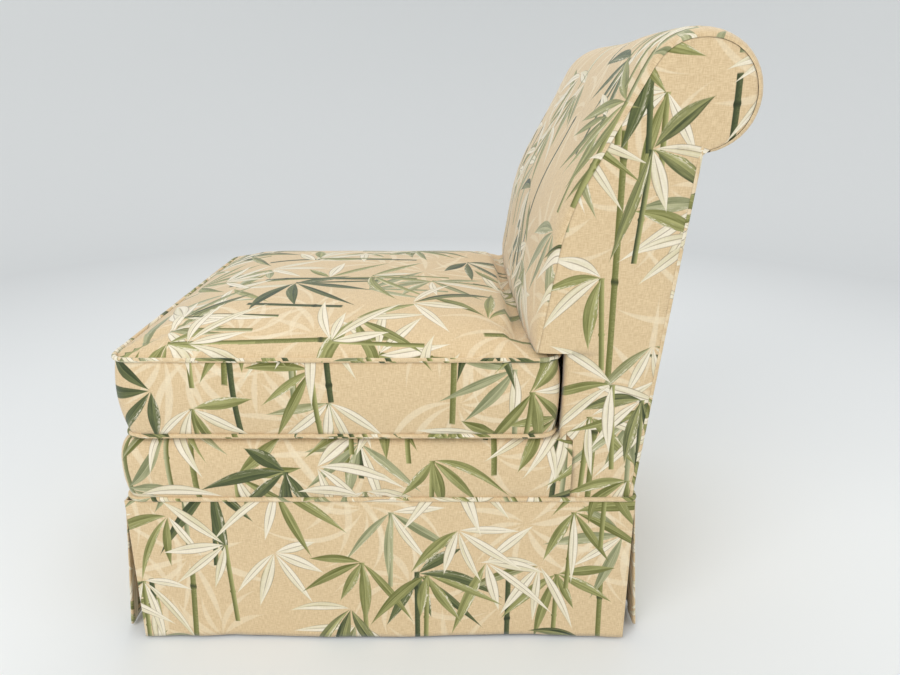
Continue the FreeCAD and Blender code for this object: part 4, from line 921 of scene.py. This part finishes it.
def seam_line():
    """Points (y, z) of the seam, from the pad's foot to the tuck."""
    low, up = (Vector((math.cos(lean), math.sin(lean))) for lean in (LOWER_LEAN, UPPER_LEAN))
    foot = Vector((SEAM_Y, PAD_BOTTOM))
    touch_turn = UPPER_LEAN + math.pi / 2
    touch = Vector((ROLL_Y + ROLL_RADIUS * math.cos(touch_turn), ROLL_Z + ROLL_RADIUS * math.sin(touch_turn)))
    gap = touch - foot
    cross = low.x * up.y - low.y * up.x
    bend_at = foot + low * ((gap.x * up.y - gap.y * up.x) / cross)
    run = BEND * math.tan((LOWER_LEAN - UPPER_LEAN) / 2)
    start, stop = bend_at - low * run, bend_at + up * run
    middle = start + Vector((low.y, -low.x)) * BEND
    line = [foot.lerp(start, t) for t in spread(0, 1, 20)]
    for turn in spread(LOWER_LEAN + math.pi / 2, touch_turn, 14)[1:]:
        line.append(middle + Vector((math.cos(turn), math.sin(turn))) * BEND)
    line += [stop.lerp(touch, t) for t in spread(0, 1, 16)[1:]]
    for k, a in enumerate(spread(touch_turn, TUCK, 34)[1:]):
        drawn_in = min(1.0, k / 10)
        radius = ROLL_RADIUS - ROLL_PUFF * drawn_in * drawn_in * (3 - 2 * drawn_in)
        line.append(Vector((ROLL_Y + radius * math.cos(a), ROLL_Z + radius * math.sin(a))))
    return line


seam = [Vector((p.x, p.y)) for p in walk([Vector((p.x, p.y, 0)) for p in seam_line()], 0.009)]
ROLL_START = (ROLL_RADIUS - ROLL_PUFF * 0.8) * (UPPER_LEAN + math.pi / 2 - TUCK)
seam_length = sum((b - a).length for a, b in zip(seam, seam[1:]))
print("seam line:", len(seam), "points,", round(seam_length, 3), "m long")

# %% [markdown]
# ## The inside back
#
# One long panel runs from under the pad's foot, up the front and over the roll to the tuck
# behind. Deep foam swells it ahead of its side seams, most in the middle of the front, and
# the roll's crest dips a little between its ends where the stuffing is softer.

# %% Swell the panel over the foam
FOOT_LEVEL, FOOT_REACH, UNDER_LEVEL, UNDER_FROM, UNDER_LENGTH = 0.4470, 0.236, 0.4462, 0.234, 0.052


def fullness(gone):
    """How far the panel stands ahead of the seam in the middle, for a length along the seam."""
    roll_from = seam_length - ROLL_START
    foot = min(1.0, gone / 0.03)
    over = bounded((gone - roll_from + 0.10) / 0.16)
    over = over * over * (3 - 2 * over)
    end = bounded((seam_length - gone) / 0.05)
    return (0.0195 * (1 - over) + 0.0170 * over) * (0.55 + 0.45 * foot) * (0.45 + 0.55 * end)


def front_panel():
    """Rows across the chair; each follows the seam line and swells between the sides."""
    across = [FRAME_HALF * math.sin(t) for t in spread(-math.pi / 2, math.pi / 2, 73)]
    rows, places, gone = [], [], 0.0
    for k, spot in enumerate(seam):
        if k:
            gone += (spot - seam[k - 1]).length
        ahead, behind = seam[min(k + 1, len(seam) - 1)], seam[max(k - 1, 0)]
        tangent = (ahead - behind).normalized()
        normal = Vector((-tangent.y, tangent.x))
        full = fullness(gone)
        row, flat = [], []
        for x in across:
            share = abs(x) / FRAME_HALF
            steep = bounded((gone - seam_length + ROLL_START + 0.04) / 0.10)
            swell = full * (1 - share ** (2.7 + 3.6 * steep)) ** (1 / 2.5)
            on_roll = max(0.0, 1 - abs(gone - seam_length + ROLL_START - 0.09) / 0.14)
            swell -= 0.0060 * on_roll * (1 - share ** 2) ** 2
            swell += 0.0016 * wobble((x, spot.x, spot.y), 11, 12) * (1 - share ** 6)
            side_pull = math.exp(-(1 - share) * FRAME_HALF / 0.030)
            swell += 0.0011 * side_pull * wobble((x * 0.4, spot.x, spot.y), 55, 13) * (1 - share ** 40)
            y, z = spot.x + normal.x * swell, spot.y + normal.y * swell
            row.append(Vector((x, y, max(z, FOOT_LEVEL) if y < FOOT_REACH else z)))
            flat.append((x + 1.31, gone + 4.07))
        rows.append(row)
        places.append(flat)
    return rows, places


panel_rows, panel_places = front_panel()
under_rows, under_places = [], []
under_depths = (UNDER_FROM, 0.222, 0.210, 0.198, 0.188)
for k, back in enumerate(under_depths):
    share = (UNDER_FROM - back) / (UNDER_FROM - SEAM_Y)
    under_rows.append([Vector((ahead.x, UNDER_FROM + (ahead.y - UNDER_FROM) * share * 0.97, UNDER_LEVEL))
                       for ahead in panel_rows[0]])
    under_places.append([(u, v - UNDER_LENGTH * (1 - k / len(under_depths))) for u, v in panel_places[0]])
inside_back = grid_mesh("inside_back_panel", under_rows + panel_rows, under_places + panel_places)
dress(inside_back)
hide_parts("inside_back_cover", "back_foam")
print("inside back:", len(inside_back.data.vertices), "points")

# %% [markdown]
# ## The side panels of the back
#
# Each side is one flat panel, cut to the back's outline: it meets the front panel at the long
# seam, goes round the roll, and runs down to the skirt. Thin felt lies under it, so it is
# almost flat and only dips where its seams pull it in.

# %% Cut and pad a side panel
LOW_EDGE, POST_FRONT, BAND_END, BAND_TOP = 0.2275, 0.2265, 0.2365, 0.3200
REAR_INSET, HAIR, SIDE_PRINT = 0.0045, 0.00005, (3.31, 8.12)


def rear_at(z):
    return REAR_FOOT[0] + (REAR_TOP[0] - REAR_FOOT[0]) * (z - REAR_FOOT[1]) / (REAR_TOP[1] - REAR_FOOT[1])


def front_at(z):
    """Where the seam line is at a height, on its front."""
    if z < BAND_TOP:
        return BAND_END
    if z < PAD_BOTTOM:
        return POST_FRONT + (BAND_END - POST_FRONT) * max(0.0, 1 - (z - BAND_TOP) / 0.012) ** 2
    for a, b in zip(seam, seam[1:]):
        if a.y <= z <= b.y:
            return a.x + (b.x - a.x) * (z - a.y) / max(1e-9, b.y - a.y)
        if b.y < a.y:
            return a.x
    return seam[-1].x


def back_at(z):
    """Where the seam line is at a height, behind the roll."""
    for a, b in zip(seam[::-1], seam[-2::-1]):
        if a.y <= z <= b.y:
            return a.x + (b.x - a.x) * (z - a.y) / max(1e-9, b.y - a.y)
    return seam[-1].x


def side_panel(side):
    """Rows from the skirt up. Below the pad the panel is narrower, so its rows leave out the first points."""
    heights = spread(LOW_EDGE, 0.4458, 25) + spread(0.4462, 0.690, 28)
    tuck_z, crest_z = seam[-1].y, max(spot.y for spot in seam)
    roll_turns = spread(-math.pi / 2, math.pi / 2, 30)
    heights += [tuck_z + (crest_z - tuck_z) * (0.5 + 0.5 * math.sin(a)) for a in roll_turns]
    ahead_count, knee = 9, (POST_FRONT - SEAM_Y) / (rear_at(PAD_BOTTOM) - REAR_INSET - SEAM_Y)
    behind = [knee + (1 - knee) * (0.5 - 0.5 * math.cos(a)) for a in spread(0, math.pi, 26)]
    shares = [knee * math.sin(a) for a in spread(0, math.pi / 2, ahead_count + 1)][:-1] + behind
    points, flats, index, faces = [], [], {}, []
    for i, z in enumerate(heights):
        start, below = front_at(min(z, crest_z - HAIR)), z < PAD_BOTTOM
        if z < tuck_z:
            stop = rear_at(z) - REAR_INSET
        else:
            stop = back_at(min(z, crest_z - HAIR))
        for k, t in enumerate(shares):
            if below and k < ahead_count:
                continue
            share = (t - knee) / (1 - knee) if below else t
            y = start + (stop - start) * share
            inset = min(share, 1 - share) * max(0.001, stop - start)
            if not below and z < PAD_BOTTOM + 0.03:
                inset = min(inset, max(0.0, POST_FRONT - y) + 0.02) if y < POST_FRONT else inset
            from_roll = math.hypot(y - ROLL_Y, z - ROLL_Z)
            if z > tuck_z and y > ROLL_Y - 0.02:
                inset = min(inset, max(0.0, ROLL_RADIUS - ROLL_PUFF - from_roll))
            rise = 0.0034 * (1 - math.exp(-inset / 0.012))
            rise += 0.0012 * wobble((side, y, z), 13, 21) * min(1, inset / 0.03)
            rise += 0.0007 * wobble((side, y, z), 60, 22) * math.exp(-inset / 0.02) * min(1, inset / 0.004)
            index[i, k] = len(points)
            points.append(Vector((side * (FRAME_HALF - 0.0012 + rise), y, z)))
            flats.append((y * side + SIDE_PRINT[0] + side, z + SIDE_PRINT[1]))
    for i in range(len(heights) - 1):
        for k in range(len(shares) - 1):
            ring = [(i, k), (i, k + 1), (i + 1, k + 1), (i + 1, k)]
            if all(spot in index for spot in ring):
                faces.append([index[spot] for spot in (ring if side > 0 else ring[::-1])])
    made = link_mesh("side_panel_" + ("left" if side > 0 else "right"), points, faces,
                     [flats[k] for face in faces for k in face])
    dress(made)
    return made


for side, word in ((1, "left"), (-1, "right")):
    panel = side_panel(side)
    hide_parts(f"side_cover_{word}", f"side_padding_{word}")
    print("side panel", word, "points:", len(panel.data.vertices))

# %% Turn the cloth round the front of each post


def post_front(side):
    """The narrow upright strip that carries the side panel round the post, beside the cushion."""
    section = [(0.2838, 0.2270), (0.2832, 0.2243), (0.2814, 0.2224), (0.2786, 0.2214), (0.2740, 0.2209),
               (0.2680, 0.2207), (0.2620, 0.2209), (0.2570, 0.2215), (0.2541, 0.2230), (0.2529, 0.2256),
               (0.2528, 0.2310), (0.2530, 0.2362)]
    rows, places = [], []
    for z in spread(0.3195, 0.4470, 22):
        row, flat, gone = [], [], 0.0
        for k, (x, y) in enumerate(section):
            if k:
                gone += math.hypot(x - section[k - 1][0], y - section[k - 1][1])
            soft = 0.0012 * wobble((side * x, y, z), 30, 24) * (0 < k < len(section) - 1)
            row.append(Vector((side * (x + soft * 0.4), y - soft, z)))
            flat.append(((0.2270 - gone) * side + SIDE_PRINT[0] + side, z + SIDE_PRINT[1]))
        rows.append(row[::-1] if side > 0 else row)
        places.append(flat[::-1] if side > 0 else flat)
    word = "left" if side > 0 else "right"
    made = grid_mesh("post_front_" + word, rows, places)
    dress(made)


post_front(1)
post_front(-1)
print("post fronts covered")

# %% [markdown]
# ## The outside back
#
# The last panel to go on is the outside back. It is pulled flat over a stiffened edge, wraps
# the back's corners by a few millimetres and ends under the piping at the bottom.

# %% Close the back
rows, places = [], []
wrap = [(-FRAME_HALF + 0.0006, -0.0055), (-FRAME_HALF - 0.0004, -0.0030), (-FRAME_HALF + 0.0007, -0.0008)]
middle = [(x, 0.0006 * (1 - (x / FRAME_HALF) ** 2)) for x in spread(-0.2815, 0.2815, 60)]
section = wrap + middle + [(-x, d) for x, d in reversed(wrap)]
for z in spread(LOW_EDGE, 0.7060, 52):
    soft = [0.0008 * wobble((x, z, 0), 8, 31) * (abs(x) < 0.27) for x, d in section]
    rows.append([Vector((-x, rear_at(z) + d + rise, z)) for (x, d), rise in zip(section, soft)])
    places.append([(-x - d + 9.45, z + 11.2) for x, d in section])
outside_back = grid_mesh("outside_back_panel", rows, places)
dress(outside_back)
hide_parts("outside_back_cover")
print("outside back:", len(outside_back.data.vertices), "points")

# %% [markdown]
# ## The band under the cushion
#
# A padded band goes round the seat's front and sides below the cushion. It is stapled under
# the skirt's piping, goes up over a soft edge roll and down onto the deck inside. On each
# side it is joined by a plain upright seam.

# %% Wrap the band
BAND_FRONT, BAND_CORNER, BAND_SEAM, BAND_STEP, BAND_PRINT = -0.381, 0.022, 0.020, 0.008, 12.4


def band_walk():
    """The band's line from above: left rear end, front left corner, front, right rear end."""
    line = [Vector((FRAME_HALF, BAND_END, 0))]
    for x, start in ((FRAME_HALF - BAND_CORNER, 0), (-FRAME_HALF + BAND_CORNER, -90)):
        line += corner_arc(x, BAND_FRONT + BAND_CORNER, BAND_CORNER, start, 9)
    line += [Vector((-FRAME_HALF, BAND_END, 0))]
    return walk(line, BAND_STEP)


def band_section():
    """The band's upright section: distance inwards and height."""
    shape = [(0.0, 0.2270), (-0.0028, 0.2330), (-0.0052, 0.2440), (-0.0066, 0.2600), (-0.0066, 0.2760),
             (-0.0054, 0.2900), (-0.0030, 0.3020), (0.0010, 0.3115), (0.0075, 0.3186), (0.0165, 0.3214),
             (0.0255, 0.3216), (0.0312, 0.3206)]
    return walk([Vector((a, b, 0)) for a, b in shape], 0.0045)


def band(name, line, gone):
    """Sweeps the section along part of the line, with a seam at each end."""
    shape, rows, places = band_section(), [], []
    heights = [0.0]
    for a, b in zip(shape, shape[1:]):
        heights.append(heights[-1] + (b - a).length)
    total = len(line)
    for k, spot in enumerate(line):
        ahead, behind = line[min(k + 1, total - 1)], line[max(k - 1, 0)]
        forward = (ahead - behind).normalized()
        inward = Vector((forward.y, -forward.x, 0))
        if k:
            gone += (spot - line[k - 1]).length
        to_seam = min(k, total - 1 - k) * BAND_STEP
        pull = 0.0016 * math.exp(-to_seam / 0.004)
        row = []
        for point in shape:
            here = (spot.x, spot.y, point.y)
            swell = 0.0012 * wobble(here, 14, 41) + 0.0008 * wobble(here, 50, 42)
            row.append(spot + inward * (point.x + pull - swell * (point.y > 0.235)) + Vector((0, 0, point.y)))
        rows.append(row)
        places.append([(gone + BAND_PRINT, high + 0.227) for high in heights])
    made = grid_mesh(name, rows, places)
    dress(made)
    return made, gone


around = band_walk()
cut_left = min(range(len(around) // 2), key=lambda k: abs(around[k].y + BAND_SEAM))
cut_right = len(around) - 1 - cut_left
pieces = [("band_side_left", around[:cut_left + 1], "band_cover_left"),
          ("band_front", around[cut_left:cut_right + 1], "band_front_cover"),
          ("band_side_right", around[cut_right:], "band_cover_right")]
gone = 0.0
for name, line, node in pieces:
    piece, gone = band(name, line, gone)
    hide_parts(node)
    if name == "band_front":
        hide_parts("band_padding", "edge_roll")

# %% [markdown]
# ## The skirt
#
# The skirt is four hung panels, lined so they stand off the legs and flare towards the hem.
# At each corner is a kick pleat: the panels' ends are folded back, and a separate piece of
# cloth behind closes the gap. Piping covers the line where they are sewn on.

# %% Hang a panel with folded ends
SKIRT_TOP, HEM, FOLD_BACK, FOLD_RADIUS = 0.2262, 0.0052, 0.034, 0.0023


def skirt_panel(name, centre, along, out, half, hem_out, shift):
    """centre is below the panel's middle; along and out are its directions on the floor."""
    fold = [(-half + FOLD_BACK - d, 2 * FOLD_RADIUS) for d in spread(0, FOLD_BACK - FOLD_RADIUS, 8)]
    fold += [(-half + FOLD_RADIUS * (1 - math.sin(a)), FOLD_RADIUS + FOLD_RADIUS * math.cos(a))
             for a in spread(0, math.pi, 7)[1:-1]]
    across = fold + [(x, 0.0) for x in spread(-half + FOLD_RADIUS, half - FOLD_RADIUS, 70)]
    across += [(-x, d) for x, d in reversed(fold)]
    rows, places, seed = [], [], shift[0]
    for k, t in enumerate(spread(0, 1, 34)):
        drop = t ** 1.08
        row, flat, gone = [], [], 0.0
        for j, (x, depth) in enumerate(across):
            if j:
                gone += math.hypot(x - across[j - 1][0], depth - across[j - 1][1])
            wave = 0.0042 * wobble((x, 0, 0), 9, seed) + 0.0018 * wobble((x, 0, 0), 24, seed + 1)
            wave *= t ** 1.6
            end = max(0.0, 1 - (half - abs(x)) / 0.05)
            stand = hem_out * drop + wave + 0.0015 * end * t - depth * (0.45 + 0.55 * t)
            lean_in = 0.0035 * t * math.copysign(1.0, x) * end
            z = SKIRT_TOP + (HEM - SKIRT_TOP) * t + 0.0016 * t * wobble((x, 1, 0), 7, seed + 2)
            row.append(centre + along * (x - lean_in) + out * stand + Vector((0, 0, z)))
            flat.append((gone + shift[1], z + shift[2]))
        rows.append(row)
        places.append(flat)
    if along.cross(Vector((0, 0, -1))).dot(out) < 0:
        rows, places = [r[::-1] for r in rows], [p[::-1] for p in places]
    made = grid_mesh(name, rows, places)
    thicken(made)
    dress(made)
    return made, gone


X, Y = Vector((1, 0, 0)), Vector((0, 1, 0))
SKIRTS = [("skirt_left", Vector((0.2885, -0.0280, 0)), Y, X, 0.3570, 0.0190, (2, 15.1, 0.4)),
          ("skirt_right", Vector((-0.2885, -0.0280, 0)), Y * -1, X * -1, 0.3570, 0.0190, (5, 17.3, 0.9)),
          ("skirt_front", Vector((0, -0.3845, 0)), X, Y * -1, 0.2870, 0.0300, (8, 19.4, 1.6)),
          ("skirt_back", Vector((0, 0.3296, 0)), X * -1, Y, 0.2870, 0.0205, (11, 21.5, 2.1))]
for name, *measures in SKIRTS:
    piece, wide = skirt_panel(name + "_panel", *measures)
    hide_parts(name)
    print(name, "was cut", round(wide, 3), "m wide")

# %% [markdown]
# ## The pleats' backing
#
# Behind each open corner hangs a strip of the same linen, bent round the corner. It shows as
# a narrow upright strip when the pleat stands open, which it does a little more at the hem.

# %% Hang the backing strips
BACKING_HALF, BACKING_FRONT, BACKING_BACK = 0.2855, -0.3815, 0.3265
BACKING_CORNER, BACKING_REACH, SKIRT_MIDDLE = 0.020, 0.088, -0.0275


def backing(name, side, face, shift):
    """A strip bent round one corner. side is +1 for the left, face is -1 for the front."""
    edge_y = BACKING_FRONT if face < 0 else BACKING_BACK
    line = [Vector((side * (BACKING_HALF - BACKING_REACH), edge_y, 0))]
    line += [Vector((side * (BACKING_HALF - BACKING_CORNER + BACKING_CORNER * math.sin(a)),
                     edge_y - face * BACKING_CORNER * (1 - math.cos(a)), 0))
             for a in spread(0, math.pi / 2, 9)]
    line += [Vector((side * BACKING_HALF, edge_y - face * BACKING_REACH, 0))]
    line = walk(line, 0.006)
    rows, places = [], []
    for t in spread(0, 1, 24):
        row, flat, gone = [], [], 0.0
        for k, spot in enumerate(line):
            if k:
                gone += (spot - line[k - 1]).length
            away = Vector((spot.x, spot.y - SKIRT_MIDDLE, 0)).normalized()
            flare = 0.0045 * t + 0.0020 * t * wobble((spot.x, spot.y, 0), 22, shift)
            z = SKIRT_TOP - 0.003 + (HEM + 0.003 - SKIRT_TOP) * t
            row.append(spot + away * flare + Vector((0, 0, z)))
            flat.append((gone + shift, 0.22 * (1 - t) + shift))
        rows.append(row)
        places.append(flat)
    if side * face > 0:
        rows, places = [r[::-1] for r in rows], [p[::-1] for p in places]
    made = grid_mesh(name, rows, places)
    thicken(made)
    dress(made)
    return made


for face, word in ((-1, "front"), (1, "back")):
    strips = [backing(f"pleat_backing_{word}_{end}", side, face, 23.0 + 2 * side + face)
              for side, end in ((1, "left"), (-1, "right"))]
    for strip in strips:
        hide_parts(f"pleat_inserts_{word}")
    print("backing strips at the", word, "corners:", len(strips))

# %% The skirt's piping
RING_HALF, RING_FRONT, RING_BACK, RING_LEVEL, RING_STEP = 0.2880, -0.3840, 0.3290, 0.2285, 0.005
FRONT_CORNER, REAR_CORNER, SKIRT_WELT_RADIUS = 0.024, 0.010, 0.0033


def skirt_outline():
    """The skirt's line from above, from the middle of its back, round by its left side."""
    line = [Vector((0, RING_BACK, 0))]
    for side, face, radius, start in ((1, 1, REAR_CORNER, 90), (1, -1, FRONT_CORNER, 0),
                                      (-1, -1, FRONT_CORNER, -90), (-1, 1, REAR_CORNER, -180)):
        edge_y = RING_BACK if face > 0 else RING_FRONT
        line += corner_arc(side * (RING_HALF - radius), edge_y - face * radius, radius, start, 6)
    return walk(line, RING_STEP, closed=True)


skirt_line = [spot + Vector((0, 0, RING_LEVEL)) for spot in skirt_outline()]
skirt_piping = piping("skirt_piping", skirt_line, SKIRT_WELT_RADIUS, (27.2, 1.3))
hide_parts("skirt_welt")
print("skirt piping:", round(len(skirt_line) * RING_STEP, 3), "m round")
